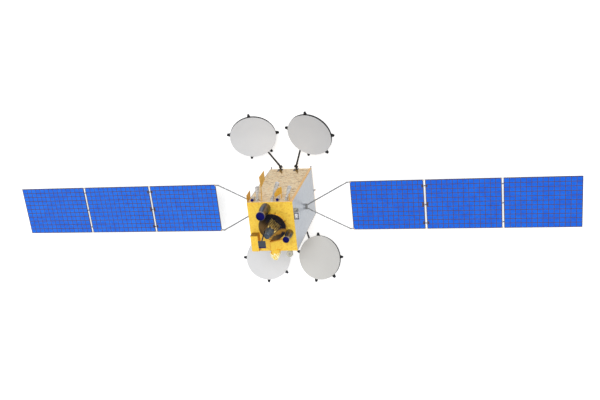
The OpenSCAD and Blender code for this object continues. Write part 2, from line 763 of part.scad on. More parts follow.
earth_deck();
anti_earth_deck();
radiator(NORTH);  // north_radiator
radiator(SOUTH);  // south_radiator
side_wall(EAST);  // east_wall
side_wall(WEST);  // west_wall
tank_block();
launch_adapter_ring();
apogee_engine();
thrusters();
earth_sensor();
deck_bowl();
deck_feed_tower();
deck_subreflector();
large_deck_horn();
small_deck_horn();
deck_foil_box();
west_foil_housing();
east_feed_horns();
west_feed_horns();
east_shield_plates();
west_patch_antenna();
wing_drive(NORTH);  // north_wing_drive
wing_drive(SOUTH);  // south_wing_drive
wing_hub(NORTH);  // north_wing_hub
wing_hub(SOUTH);  // south_wing_hub
yoke(NORTH);  // north_yoke
yoke(SOUTH);  // south_yoke
panel(NORTH, 0, -1, 1);  // north_inner_panel
panel(NORTH, 1, 1, -1);  // north_middle_panel
panel(NORTH, 2, -1, 0);  // north_outer_panel
panel(SOUTH, 0, -1, 1);  // south_inner_panel
panel(SOUTH, 1, 1, -1);  // south_middle_panel
panel(SOUTH, 2, -1, 0);  // south_outer_panel
bracket(EAST, NORTH);  // east_north_bracket
bracket(EAST, SOUTH);  // east_south_bracket
bracket(WEST, NORTH);  // west_north_bracket
bracket(WEST, SOUTH);  // west_south_bracket
boom(EAST, NORTH);  // east_north_boom
boom(EAST, SOUTH);  // east_south_boom
boom(WEST, NORTH);  // west_north_boom
boom(WEST, SOUTH);  // west_south_boom
reflector(EAST, NORTH);  // east_north_reflector
reflector(EAST, SOUTH);  // east_south_reflector
reflector(WEST, NORTH);  // west_north_reflector
reflector(WEST, SOUTH);  // west_south_reflector
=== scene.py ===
"""Looks of the communications satellite, laid over its CAD frame.

Metres, in the row frame: +Z earthward, +X north along one wing, +Y east.
"""
from itertools import product
from math import cos, pi, radians, sin

import bmesh
import bpy
import numpy as np
from mathutils import Matrix, Vector


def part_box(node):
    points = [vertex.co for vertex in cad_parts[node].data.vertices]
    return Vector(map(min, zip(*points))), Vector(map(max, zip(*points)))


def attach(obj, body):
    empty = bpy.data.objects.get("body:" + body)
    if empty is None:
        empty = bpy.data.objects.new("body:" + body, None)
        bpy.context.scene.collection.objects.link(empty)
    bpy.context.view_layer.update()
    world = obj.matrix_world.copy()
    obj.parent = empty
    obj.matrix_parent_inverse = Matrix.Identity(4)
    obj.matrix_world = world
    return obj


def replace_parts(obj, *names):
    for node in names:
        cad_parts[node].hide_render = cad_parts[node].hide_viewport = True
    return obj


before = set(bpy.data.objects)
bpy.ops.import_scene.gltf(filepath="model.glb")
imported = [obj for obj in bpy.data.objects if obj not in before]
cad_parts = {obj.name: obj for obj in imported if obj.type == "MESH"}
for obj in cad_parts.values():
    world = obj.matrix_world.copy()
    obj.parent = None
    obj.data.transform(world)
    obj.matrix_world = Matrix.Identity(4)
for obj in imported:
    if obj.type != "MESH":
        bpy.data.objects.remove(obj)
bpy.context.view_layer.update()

scene = bpy.context.scene
SIDES = {"north": 1, "south": -1}
CORNERS = [(ew, ns, sx, sy) for ew, sy in (("east", 1), ("west", -1)) for ns, sx in SIDES.items()]
X, Y, Z = Vector((1, 0, 0)), Vector((0, 1, 0)), Vector((0, 0, 1))

# ---- Sizes, from the frame where a node has them ----

HALF_X, HALF_Y, DECK_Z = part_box("earth_deck")[1]
RING_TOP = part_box("anti_earth_deck")[0].z
RING_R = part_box("launch_adapter_ring")[1].x - 0.012
WING_Z = sum(corner.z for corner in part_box("north_wing_drive")) / 2

PANEL_NAMES = ["inner", "middle", "outer"]
WING_ROOT_X = 3.24
PANEL_LENGTH = 3.36
PANEL_CHORD = 2.41
PANEL_T = 0.025
PANEL_GAP = 0.08
EDGE_HINGE_Y = PANEL_CHORD * 0.38
CORNER_HINGE_Y = PANEL_CHORD / 2 - 0.045

DISH_R = 1.1
DISH_SAG = 0.12
DISH_SHELL = 0.022
DISH_RIM = 0.13
DISH_YAW = Matrix.Rotation(radians(-13), 4, "Y")
DISH_TURN = DISH_YAW @ Matrix.Rotation(radians(16), 4, "X")
DISH_CENTRES = {"east_north": Vector((1.295, 3.12, 1.13)), "east_south": Vector((1.435, 3.12, 1.13)),
                "west_north": Vector((1.185, 3.225, 1.13)), "west_south": Vector((1.42, 3.225, 1.13))}
BOOM_HINGES = {"north": Vector((0.31, 1.33, 0.31)), "south": Vector((0.48, 1.33, 0.31))}
BOOM_INSETS = {"north": 0.35, "south": 0.0}
LUG_TURNS = {"east_north": -5, "east_south": 0, "west_north": 2, "west_south": 5}
BOOM_STAND_OFF = 0.3
BOOM_R = 0.045
FLANGE_Z = -0.252

BOWL = Vector((0.085, 0.115, DECK_Z))
BOWL_R = 0.625
BOWL_RIM_Z = 0.32
BOWL_DEPTH = 0.2
LARGE_HORN = Vector((-0.19, HALF_Y - 0.255, DECK_Z))
SMALL_HORN = Vector((HALF_X - 0.27, -0.29, DECK_Z))
CHEST_LOW = Vector((-HALF_X + 0.079, -HALF_Y + 0.144, DECK_Z))
CHEST_HIGH = Vector((-HALF_X + 0.421, -HALF_Y + 0.916, DECK_Z + 0.374))
HOUSE_SOUTH, HOUSE_EAST = -0.105, -HALF_Y + 0.595


# ---- Materials ----

def srgb(*levels):
    """Linear colour of 0-255 screen levels."""
    return tuple(((v / 255 + 0.055) / 1.055) ** 2.4 if v > 10 else v / 3294.6 for v in levels) + (1.0,)


class Look:
    """A node material whose textures follow the piece's own coordinates, in metres."""

    def __init__(self, name, colour, rough, metal=0.0, specular=0.5, coat=0.0):
        self.material = bpy.data.materials.new(name)
        self.material.use_nodes = True
        tree = self.material.node_tree
        self.nodes, self.wires = tree.nodes, tree.links
        self.shader = self.nodes["Principled BSDF"]
        self.place = self.nodes.new("ShaderNodeTexCoord").outputs["Object"]
        for key, value in (("Base Color", colour), ("Roughness", rough), ("Metallic", metal),
                           ("Specular IOR Level", specular), ("Coat Weight", coat)):
            self.shader.inputs[key].default_value = value

    def add(self, kind, sockets, out=0, **settings):
        node = self.nodes.new("ShaderNode" + kind)
        for key, value in settings.items():
            setattr(node, key, value)
        for key, value in sockets.items():
            if isinstance(value, bpy.types.NodeSocket):
                self.wires.new(value, node.inputs[key])
            else:
                node.inputs[key].default_value = value
        return node.outputs[out]

    def scaled(self, *scale):
        return self.add("Mapping", {"Vector": self.place, "Scale": scale})

    def noise(self, scale, detail=3, at=None, warp=0.0):
        return self.add("TexNoise", {"Vector": at or self.place, "Scale": scale, "Detail": detail,
                                     "Distortion": warp})

    def cracks(self, scale, at=None, feature="DISTANCE_TO_EDGE"):
        return self.add("TexVoronoi", {"Vector": at or self.place, "Scale": scale}, feature=feature)

    def math(self, operation, a, b=0.0):
        return self.add("Math", {0: a, 1: b}, operation=operation)

    def plus(self, a, b):
        return self.math("ADD", a, b)

    def times(self, a, b):
        return self.math("MULTIPLY", a, b)

    def vector(self, operation, a, b, out=0):
        return self.add("VectorMath", {0: a, 1: b}, out, operation=operation)

    def ramp(self, value, *stops):
        node = self.nodes.new("ShaderNodeValToRGB")
        self.wires.new(value, node.inputs[0])
        steps = node.color_ramp.elements
        while len(steps) < len(stops):
            steps.new(0.5)
        for step, (at, level) in zip(steps, stops):
            step.position = at
            step.color = (level, level, level, 1) if isinstance(level, (int, float)) else level
        return node.outputs[0]

    def mix(self, amount, a, b, blend="MIX"):
        return self.add("Mix", {0: amount, 6: a, 7: b}, out=2, data_type="RGBA", blend_type=blend)

    def shaded(self, colour, shade):
        return self.mix(1.0, colour, shade, "MULTIPLY")

    def warped(self, scale, reach, at=None):
        """Coordinates pushed about by noise, so that a pattern on them isn't straight."""
        source = at or self.place
        push = self.add("TexNoise", {"Vector": source, "Scale": scale}, out="Color")
        push = self.vector("SUBTRACT", push, (0.5, 0.5, 0.5))
        push = self.add("VectorMath", {0: push, "Scale": reach}, operation="SCALE")
        return self.vector("ADD", source, push)

    def along(self, way, origin):
        """Distance of the point from origin along way."""
        away = self.vector("SUBTRACT", self.place, tuple(origin))
        return self.vector("DOT_PRODUCT", away, way, "Value")

    def wear(self, socket, value):
        self.wires.new(value, self.shader.inputs[socket])
        return self

    def bump(self, height, strength=0.5, distance=0.01):
        before = self.shader.inputs["Normal"].links
        sockets = {"Height": height, "Strength": strength, "Distance": distance}
        if before:
            sockets["Normal"] = before[0].from_socket
        return self.wear("Normal", self.add("Bump", sockets))


def foil(name, light, dark, rough, metal, crease, depth, patch=None, painted_shades=()):
    """Crinkled metal-coated film: broad folds with painted shade along them, fine creases and patches that
    reflect a darker tone.

    The last argument lists painted shade on sides and ends of a piece as (way, origin, near, far, colour): how
    far along way from origin the colour sets in.
    """
    look = Look(name, light, rough, metal)
    at = look.warped(2.5 / crease * 0.1, crease * 0.6)
    folds = look.cracks(1 / crease, at)
    fine = look.cracks(3.1 / crease, look.warped(6 / crease * 0.1, crease * 0.3), "F1")
    height = look.plus(look.ramp(folds, (0, 0), (0.35, 1)), look.times(fine, 0.5))
    look.bump(height, 0.6, depth)
    tone = look.ramp(look.noise(1.1 / crease, 6, warp=0.6), (0.36, 1), (0.52, 0))
    colour = look.mix(look.times(tone, 0.55), light, dark)
    # Painted shade along the fold lines.
    crease_shade = look.times(look.ramp(folds, (0, 1), (0.07, 0)), 0.35)
    colour = look.mix(crease_shade, colour, dark)
    if patch:
        where = look.ramp(look.noise(0.35 / crease, 4, warp=1.0), (0.56, 0), (0.72, 1))
        colour = look.mix(look.times(where, 0.45), colour, patch)
    # Painted shade on the sides and ends of the piece.
    for way, origin, near, far, shade_colour in painted_shades:
        reach = look.plus(look.along(way, origin), look.times(look.noise(9, 4), 0.04))
        colour = look.mix(look.ramp(reach, (near, 0), (far, 0.85)), colour, shade_colour)
    look.wear("Base Color", colour)
    look.wear("Roughness", look.ramp(look.noise(0.8 / crease, 3), (0.3, rough * 0.7), (0.7, rough * 1.3)))
    return look


def plain(name, colour, rough, metal=0.0, grain=40.0, shift=0.12, specular=0.5):
    """Painted or machined surface: slight shade and gloss changes, and a fine grain."""
    look = Look(name, colour, rough, metal, specular)
    shade = look.ramp(look.noise(grain * 0.12, 5, warp=0.4), (0.3, 1 - shift), (0.7, 1.0))
    look.wear("Base Color", look.shaded(colour, shade))
    look.wear("Roughness", look.ramp(look.noise(grain * 0.3, 3), (0.3, rough * 0.85),
                                     (0.7, min(1.0, rough * 1.15))))
    look.bump(look.noise(grain, 4), 0.25, 0.001)
    return look


deck_gold = foil("deck_gold", srgb(255, 216, 78), srgb(240, 184, 50), 0.5, 0.2, 0.09, 0.004,
                 srgb(214, 154, 44))
box_gold = foil("box_gold", srgb(255, 214, 74), srgb(230, 162, 38), 0.4, 0.4, 0.06, 0.005)
# Painted shade: dark brown on the chest's east end and orange on its north side.
chest_gold = foil("chest_gold", srgb(255, 214, 74), srgb(236, 172, 42), 0.4, 0.3, 0.06, 0.005, painted_shades=(
    (Y, (0, CHEST_HIGH.y - 0.04, 0), 0.02, 0.045, srgb(104, 62, 14)),
    (X, (CHEST_HIGH.x - 0.03, 0, 0), 0.03, 0.045, srgb(196, 120, 24))))
# Painted shade: orange on the housing's south side and east end.
house_gold = foil("house_gold", srgb(255, 214, 74), srgb(236, 172, 42), 0.4, 0.3, 0.06, 0.005, painted_shades=(
    (-X, (HOUSE_SOUTH + 0.03, 0, 0), 0.03, 0.045, srgb(206, 124, 22)),
    (Y, (0, HOUSE_EAST - 0.08, 0), 0.02, 0.1, srgb(196, 116, 24))))


def glint_look():
    """Sharply folded gold film with painted glints: its facets run from near white to deep amber."""
    look = Look("bright_gold", srgb(255, 224, 96), 0.3, 0.3)
    facet = look.cracks(15, look.warped(9, 0.06, look.scaled(1.5, 1, 0.7)), "F1")
    tone = look.plus(look.times(look.noise(13, 2, warp=1.2), 0.8), look.times(facet, 0.3))
    # Painted glints: the facets are coloured from deep amber up to near white.
    colour = look.ramp(tone, (0.34, srgb(206, 146, 20)), (0.44, srgb(250, 206, 60)),
                       (0.54, srgb(255, 236, 130)), (0.62, srgb(255, 254, 238)))
    look.wear("Base Color", colour)
    look.bump(tone, 0.7, 0.02)
    return look


bright_gold = glint_look()

brown_gold = foil("brown_gold", srgb(160, 122, 44), srgb(84, 60, 24), 0.35, 0.6, 0.04, 0.004)
plate_gold = foil("plate_gold", srgb(236, 182, 62), srgb(206, 146, 40), 0.5, 0.15, 0.07, 0.003)
tape_gold = foil("tape_gold", srgb(246, 200, 132), srgb(222, 164, 92), 0.5, 0.1, 0.05, 0.002)
silver_foil = foil("silver_foil", srgb(208, 206, 202), srgb(12, 12, 14), 0.35, 0.4, 0.06, 0.01)


def blanket_look():
    """Beige blanket pulled into long wavy creases, with darker streaks, painted shade in its folds and hollows
    and a painted highlight on its bulges.
    """
    look = Look("beige_blanket", srgb(255, 232, 198), 0.6, 0.0)
    at = look.warped(2.2, 0.3, look.scaled(1, 1, 1.5))
    folds = look.ramp(look.cracks(5.5, at), (0, 1), (0.09, 0))
    waves = look.noise(9, 5, at, 0.9)
    height = look.math("SUBTRACT", waves, look.times(folds, 0.6))
    look.bump(height, 0.6, 0.015)
    # Painted shade in the hollows of the waves and a painted highlight on their crests.
    tone = look.mix(look.ramp(waves, (0.38, 1), (0.52, 0)), srgb(255, 235, 198), srgb(244, 208, 158))
    streaks = look.noise(4.5, 5, look.scaled(0.8, 1, 4), 1.2)
    tone = look.mix(look.ramp(streaks, (0.36, 0.9), (0.43, 0)), tone, srgb(160, 118, 72))
    # Painted shade along the folds.
    tone = look.mix(look.times(folds, 0.5), tone, srgb(190, 148, 98))
    broad = look.ramp(look.noise(1.4, 3, warp=0.6), (0.35, 0.95), (0.65, 1.0))
    return look.wear("Base Color", look.shaded(tone, broad))


beige = blanket_look()


FOLD_WAY, STRIPES_PER_M = (0.466, -0.358, -0.809), 9.5


def tower_look():
    """Brown film on the tower, with slanting gold glints where its folds catch the light."""
    look = Look("tower_film", srgb(104, 78, 40), 0.35, 0.4)
    patches = look.noise(7, 4, warp=0.8)
    colour = look.mix(look.ramp(patches, (0.4, 0), (0.6, 1)), srgb(128, 98, 54), srgb(74, 54, 32))
    across = look.plus(look.along(FOLD_WAY, BOWL), look.times(look.noise(4, 2), 0.05))
    stripe = look.ramp(look.math("FRACT", look.times(across, STRIPES_PER_M)), (0, 0), (0.08, 1),
                       (0.24, 1), (0.34, 0))
    east = look.ramp(look.along((0.7, 0.7, 0), BOWL), (0.08, 0), (0.14, 1))
    broken = look.ramp(look.noise(5, 3), (0.34, 0), (0.46, 1))
    glint = look.times(look.times(stripe, east), broken)
    look.wear("Base Color", look.mix(glint, colour, srgb(255, 220, 124)))
    look.bump(patches, 0.5, 0.01)
    return look


tower_film = tower_look()
white_paint = plain("white_paint", srgb(232, 233, 235), 0.45, grain=60, shift=0.06)
tube_grey = plain("tube_grey", srgb(142, 142, 142), 0.4, 0.4, grain=90)
fitting_beige = plain("fitting_beige", srgb(196, 176, 150), 0.45, 0.4, grain=120)
aluminium = plain("aluminium", srgb(188, 190, 194), 0.32, 0.85, grain=150, shift=0.08)
dark_metal = plain("dark_metal", srgb(74, 76, 86), 0.35, 0.7, grain=90, shift=0.25)
black_paint = plain("black_paint", srgb(9, 9, 10), 0.6, grain=80, shift=0.3, specular=0.25)
frame_grey = plain("frame_grey", srgb(96, 98, 108), 0.45, 0.3, grain=90)
patch_grey = plain("patch_grey", srgb(176, 174, 160), 0.45, 0.2, grain=90)
tank_metal = plain("tank_metal", srgb(160, 160, 158), 0.4, 0.8, grain=60)
harness_tan = plain("harness_tan", srgb(168, 120, 58), 0.4, 0.1, grain=140, shift=0.3)
navy_cover = plain("navy_cover", srgb(14, 12, 112), 0.5, 0.0, grain=24, shift=0.6, specular=0.1)
ring_blush = plain("ring_blush", srgb(226, 198, 192), 0.4, 0.2, grain=120)
square_grey = plain("square_grey", srgb(62, 68, 80), 0.45, 0.2, grain=60, shift=0.2)
feed_blue = plain("feed_blue", srgb(84, 98, 112), 0.35, 0.4, grain=40, shift=0.5)


def carbon_look(name, colour, rough):
    """Carbon cloth under clear resin: a 2 x 2 twill a few millimetres wide."""
    look = Look(name, colour, rough, 0.0, 0.5, 0.25)
    waves = [look.add("TexWave", {"Vector": look.scaled(*scale), "Scale": 40.0, "Distortion": 0.3},
                      out="Fac", bands_direction=way)
             for scale, way in (((1, 1, 1), "DIAGONAL"), ((1, -1, 1), "DIAGONAL"))]
    weave = look.times(waves[0], waves[1])
    tone = look.ramp(weave, (0, 0.7), (1, 1.25))
    tone = look.shaded(tone, look.ramp(look.noise(3, 4), (0.3, 0.75), (0.7, 1.1)))
    look.wear("Base Color", look.shaded(colour, tone))
    look.bump(weave, 0.3, 0.0008)
    return look


carbon = carbon_look("carbon_black", srgb(16, 16, 17), 0.5)
panel_back = carbon_look("panel_back", srgb(46, 44, 46), 0.5)


def cell_look(name, bright, deep):
    """Solar cells: each its own shade of blue, with fine grid fingers under cover glass."""
    look = Look(name, bright, 0.3, 0.0, 0.22, 0.0)
    block, cell = (look.add("TexWhiteNoise", {"Vector": look.vector("SNAP", look.place, step)})
                   for step in ((0.236, 0.2136, 1), (0.0786, 0.0712, 1)))
    shade = look.plus(look.times(block, 0.55), look.times(cell, 0.45))
    drift = look.noise(1.6, 3)
    shade = look.plus(look.times(shade, 0.6), look.times(drift, 0.5))
    colour = look.mix(look.ramp(shade, (0.28, 0), (0.85, 1)), deep, bright)
    fingers = look.add("TexWave", {"Vector": look.place, "Scale": 60.0}, out="Fac", bands_direction="Y")
    colour = look.mix(look.times(look.ramp(fingers, (0.86, 0), (0.97, 1)), 0.15), colour,
                      srgb(110, 160, 226))
    look.wear("Base Color", colour)
    look.wear("Roughness", look.ramp(look.noise(9, 2), (0.3, 0.24), (0.7, 0.38)))
    look.bump(look.noise(3, 2), 0.1, 0.002)
    return look


cells = {"north": cell_look("cells_north", srgb(2, 112, 246), srgb(4, 94, 226)),
         "south": cell_look("cells_south", srgb(28, 122, 250), srgb(24, 102, 230))}
substrate = plain("cell_substrate", srgb(78, 64, 78), 0.45, 0.0, grain=60, shift=0.3)
panel_edge = plain("panel_edge", srgb(18, 34, 96), 0.4, 0.0, grain=60, shift=0.25)


def tile_look():
    """Second-surface mirror tiles: silvery, each tile a slightly different tone."""
    look = Look("radiator_tiles", srgb(184, 189, 196), 0.3, 0.45)
    tile = look.vector("SNAP", look.place, (1, 0.0983, 0.0983))
    tone = look.ramp(look.add("TexWhiteNoise", {"Vector": tile}), (0, 0.93), (1, 1.0))
    drift = look.ramp(look.noise(1.3, 4), (0.3, 0.95), (0.7, 1.0))
    tint = look.mix(look.times(look.noise(5, 3), 0.3), srgb(174, 182, 190), srgb(184, 182, 190))
    look.wear("Base Color", look.shaded(look.shaded(tint, tone), drift))
    look.bump(look.noise(14, 2), 0.08, 0.002)
    return look


radiator_tiles = tile_look()


def dish_look(name, colour):
    """Reflector face: pale grey conductive film over carbon skin, with faint facets."""
    look = Look(name, colour, 0.6, 0.0, 0.3)
    drift = look.ramp(look.noise(0.9, 4, warp=0.5), (0.3, 0.965), (0.7, 1.0))
    facet = look.ramp(look.cracks(3.2), (0, 0.98), (0.012, 1.0))
    look.wear("Base Color", look.shaded(colour, look.shaded(drift, facet)))
    look.bump(look.noise(30, 3), 0.08, 0.0015)
    return look


dish_face = dish_look("dish_face", srgb(226, 227, 229))
# Darker copies of the face for two reflectors: painted shade, and on the warm one also a painted reflection of
# the gold deck.
dish_face_warm_shaded = dish_look("dish_face_warm_shaded", srgb(212, 212, 210))
dish_face_shaded = dish_look("dish_face_shaded", srgb(213, 214, 216))


def bowl_look():
    """Dark polished reflector: blue-black, with a painted reflection of the gold deck in bronze towards its
    south-west side and in a gold band in the south.
    """
    look = Look("bowl_mirror", srgb(34, 34, 42), 0.3, 0.5)
    shove = look.times(look.noise(5, 3), 0.3)
    # Painted reflection of the gold deck, bronze towards the south-west.
    west = look.plus(look.along((-0.75, -0.66, 0), BOWL), shove)
    colour = look.ramp(west, (0.1, srgb(30, 32, 50)), (0.3, srgb(70, 54, 34)), (0.62, srgb(112, 84, 40)),
                       (0.78, srgb(60, 40, 20)))
    south = look.plus(look.along((0.45, -0.89, 0), BOWL), shove)
    # Painted reflection: a gold band in the south.
    band = look.ramp(south, (0.42, 0), (0.5, 0.9), (0.56, 0.9), (0.62, 0))
    colour = look.mix(band, colour, srgb(206, 154, 60))
    look.wear("Base Color", colour)
    look.bump(look.noise(6, 3, warp=0.8), 0.2, 0.004)
    return look


bowl_mirror = bowl_look()


def horn_look(name, middle, r):
    """Black-blue film round a horn at middle, with slate on its south side and bronze on its north side; its
    south edge is painted shade and a paler band in the slate is a painted highlight.
    """
    look = Look(name, srgb(70, 76, 92), 0.3, 0.5)
    across = look.math("DIVIDE", look.along((1, -0.1, 0), middle), r)
    across = look.plus(across, look.times(look.noise(7, 4, look.scaled(1, 1, 0.25)), 0.5))
    across = look.times(look.plus(across, 0.75), 0.5)
    # Painted shade darkens the south edge of the horn; the paler slate band is a painted highlight.
    colour = look.ramp(across, (0.04, srgb(18, 20, 24)), (0.2, srgb(64, 70, 86)), (0.45, srgb(84, 90, 108)),
                       (0.56, srgb(28, 29, 31)), (0.74, srgb(112, 84, 44)), (0.9, srgb(70, 66, 50)),
                       (1.0, srgb(20, 20, 20)))
    look.wear("Base Color", colour)
    look.bump(look.noise(18, 4, look.scaled(1, 1, 0.4)), 0.4, 0.005)
    return look


def nozzle_look():
    """Coated niobium with heat tint rising from blue-grey to straw."""
    look = Look("nozzle_metal", srgb(84, 82, 86), 0.34, 0.9)
    height = look.add("SeparateXYZ", {0: look.place}, out=2)
    tint = look.ramp(look.plus(look.times(height, 2.4),
                               look.times(look.noise(6, 3), 0.25)),
                     (0.2, srgb(70, 74, 92)), (0.55, srgb(96, 80, 74)), (0.9, srgb(72, 70, 72)))
    look.wear("Base Color", tint)
    look.bump(look.noise(40, 3, look.scaled(1, 1, 6)), 0.3, 0.001)
    return look


nozzle_metal = nozzle_look()


# ---- Mesh making ----

def circle(r, z, count, start=0.0):
    """Points spaced evenly on a level circle."""
    return [(r * cos(a), r * sin(a), z) for a in (start + 2 * pi * k / count for k in range(count))]


def shift(*offset):
    return Matrix.Translation(Vector(offset))


def mirrored(sx, sy):
    return Matrix.Diagonal((sx, sy, 1, 1))


def facing(way):
    """Turn that takes +Z to way."""
    return Z.rotation_difference(Vector(way)).to_matrix().to_4x4()


def creases(points, size, seed, folds=7):
    """Crumpled height, about -1 to 1, of flat facets that meet in sharp folds.

    size is the size of the facets in metres, per axis.
    """
    draw = np.random.default_rng(seed)
    at, total = points / np.array(size), 0.0
    for _ in range(folds):
        way = draw.normal(size=3)
        way /= np.linalg.norm(way)
        bend = 0.5 * np.sin(at @ draw.normal(size=3) * 1.3 + draw.uniform(0, 2 * pi))
        wave = (at @ way * draw.uniform(0.7, 1.7) + draw.uniform(0, 2) + bend) % 2
        total = total + np.abs(wave - 1) * draw.uniform(0.5, 1)
    return (total / folds - 0.37) * 3


class Shape:
    """Closed solids gathered into one mesh. paint() picks the material of the solids that follow."""

    def __init__(self, place=Matrix.Identity(4)):
        self.points, self.faces, self.coats = [], [], []
        self.count, self.coat, self.place = 0, 0, place

    def paint(self, coat):
        self.coat = coat
        return self

    def solid(self, points, faces, place=Matrix.Identity(4)):
        whole = np.array(self.place @ place)
        points = np.asarray(points, float)
        self.points.append(points @ whole[:3, :3].T + whole[:3, 3])
        self.faces += [[self.count + i for i in face] for face in faces]
        self.coats += [self.coat] * len(faces)
        self.count += len(points)
        return self

    def turned(self, profile, place=Matrix.Identity(4), steps=64, loop=False):
        """Profile of (radius, height) turned about Z. It starts and ends on the axis, or loops."""
        points, rings = [], []
        for r, z in profile:
            if r < 1e-9:
                rings.append([len(points)] * steps)
                points.append((0, 0, z))
            else:
                rings.append(range(len(points), len(points) + steps))
                points += circle(r, z, steps)
        faces = []
        for low, high in zip(rings, rings[1:] + (rings[:1] if loop else [])):
            for k in range(steps):
                j = (k + 1) % steps
                face = list(dict.fromkeys([low[k], low[j], high[j], high[k]]))
                if len(face) > 2:
                    faces.append(face)
        return self.solid(points, faces, place)

    def tube(self, path, radius, sides=12, loop=False):
        """Round tube along a path. radius is one number, or one for each point."""
        path = [Vector(p) for p in path]
        radii = radius if isinstance(radius, (list, tuple)) else [radius] * len(path)
        points, side = [], None
        for k, p in enumerate(path):
            before = path[k - 1] if k or loop else p
            after = path[(k + 1) % len(path)] if k + 1 < len(path) or loop else p
            along = (after - before).normalized()
            if side is None:
                side = along.orthogonal().normalized()
            side = (side - along * side.dot(along)).normalized()
            up = along.cross(side)
            points += [p + radii[k] * (cos(2 * pi * i / sides) * side + sin(2 * pi * i / sides) * up)
                       for i in range(sides)]
        faces = []
        for k in range(len(path) - (0 if loop else 1)):
            a, b = k * sides, (k + 1) % len(path) * sides
            faces += [[a + i, a + (i + 1) % sides, b + (i + 1) % sides, b + i] for i in range(sides)]
        if not loop:
            end = (len(path) - 1) * sides
            faces += [list(range(sides))[::-1], [end + i for i in range(sides)]]
        return self.solid(points, faces)

    def block(self, low, high, bevel=0.002, place=Matrix.Identity(4)):
        """Box with chamfered edges. A corner has three points, one flush with the end of each axis."""
        ends = np.minimum(low, high), np.maximum(low, high)
        corners = list(product((0, 1), repeat=3))
        index = {key: k for k, key in enumerate(product(corners, range(3)))}
        points = [[ends[corner[a]][a] + (0 if a == axis else bevel * (1 - 2 * corner[a])) for a in range(3)]
                  for corner, axis in index]
        faces = [[index[corner, axis] for axis in range(3)] for corner in corners]
        for axis in range(3):
            u, v = [a for a in range(3) if a != axis]

            def at(end, side_u, side_v, flush):
                corner = [0, 0, 0]
                corner[axis], corner[u], corner[v] = end, side_u, side_v
                return index[tuple(corner), flush]

            faces += [[at(end, *side, axis) for side in ((0, 0), (1, 0), (1, 1), (0, 1))] for end in (0, 1)]
            faces += [[at(0, *side, u), at(1, *side, u), at(1, *side, v), at(0, *side, v)]
                      for side in product((0, 1), repeat=2)]
        return self.solid(points, faces, place)

    def puffed(self, low, high, pitch):
        """Box with every side cut into a welded grid, ready to be wrinkled."""
        mesh = bmesh.new()
        bmesh.ops.create_cube(mesh, size=1)
        low, high = Vector(low), Vector(high)
        for axis in range(3):
            cuts = max(1, round((high[axis] - low[axis]) / pitch)) - 1
            edges = [e for e in mesh.edges if abs((e.verts[0].co - e.verts[1].co)[axis]) > 1e-6]
            if cuts:
                bmesh.ops.subdivide_edges(mesh, edges=edges, cuts=cuts, use_grid_fill=True)
        middle, size = (low + high) / 2, high - low
        mesh.verts.index_update()
        points = [[middle[a] + v.co[a] * size[a] for a in range(3)] for v in mesh.verts]
        faces = [[v.index for v in f.verts] for f in mesh.faces]
        mesh.free()
        return self.solid(points, faces)

    def slab(self, outline, thick, pitch, place):
        """Prism of a flat outline, thick along Z, cut into small triangles ready to be wrinkled."""
        mesh = bmesh.new()
        base = mesh.faces.new([mesh.verts.new((x, y, 0)) for x, y in outline])
        grown = bmesh.ops.extrude_face_region(mesh, geom=[base])["geom"]
        for vert in (v for v in grown if isinstance(v, bmesh.types.BMVert)):
            vert.co.z = thick
        for _ in range(9):
            bmesh.ops.triangulate(mesh, faces=mesh.faces[:])
            long_edges = [e for e in mesh.edges if e.calc_length() > pitch * 1.5]
            if not long_edges:
                break
            bmesh.ops.subdivide_edges(mesh, edges=long_edges, cuts=1)
        mesh.verts.index_update()
        points = [tuple(v.co) for v in mesh.verts]
        faces = [[v.index for v in f.verts] for f in mesh.faces]
        mesh.free()
        return self.solid(points, faces, place)

    def bolts(self, spots, axis, r=0.008, h=0.006):
        """Bolt heads on washers at the spots, standing along axis."""
        for spot in spots:
            place = shift(*spot) @ facing(axis)
            self.turned([(0, 0), (r * 1.6, 0), (r * 1.6, h * 0.3), (r, h * 0.3), (r, h * 0.85),
                         (r * 0.8, h), (0, h)], place, 12)
        return self

    def build(self, name, looks, body, slot, sharp=38, wrinkle=None):
        """Makes the object. wrinkle is (depth, size, seed) of its crumpled surface."""
        mesh = bpy.data.meshes.new(name)
        mesh.from_pydata(np.concatenate(self.points).tolist(), [], self.faces)
        looks = looks if isinstance(looks, (list, tuple)) else [looks]
        for look in looks:
            mesh.materials.append(look.material)
        mesh.polygons.foreach_set("material_index", self.coats)
        tidy = bmesh.new()
        tidy.from_mesh(mesh)
        bmesh.ops.recalc_face_normals(tidy, faces=tidy.faces)
        tidy.to_mesh(mesh)
        tidy.free()
        if wrinkle:
            depth, size, seed = wrinkle
            place, normal = np.empty(len(mesh.vertices) * 3), np.empty(len(mesh.vertices) * 3)
            mesh.vertices.foreach_get("co", place)
            mesh.vertex_normals.foreach_get("vector", normal)
            place, normal = place.reshape(-1, 3), normal.reshape(-1, 3)
            height = creases(place, size, seed) + 0.35 * creases(place, np.array(size) * 0.35, seed + 1)
            mesh.vertices.foreach_set("co", (place + normal * depth * height[:, None]).ravel())
        mesh.polygons.foreach_set("use_smooth", [True] * len(mesh.polygons))
        mesh.set_sharp_from_angle(angle=radians(sharp))
        mesh.update()
        piece = bpy.data.objects.new(name, mesh)
        scene.collection.objects.link(piece)
        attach(piece, body)
        return piece


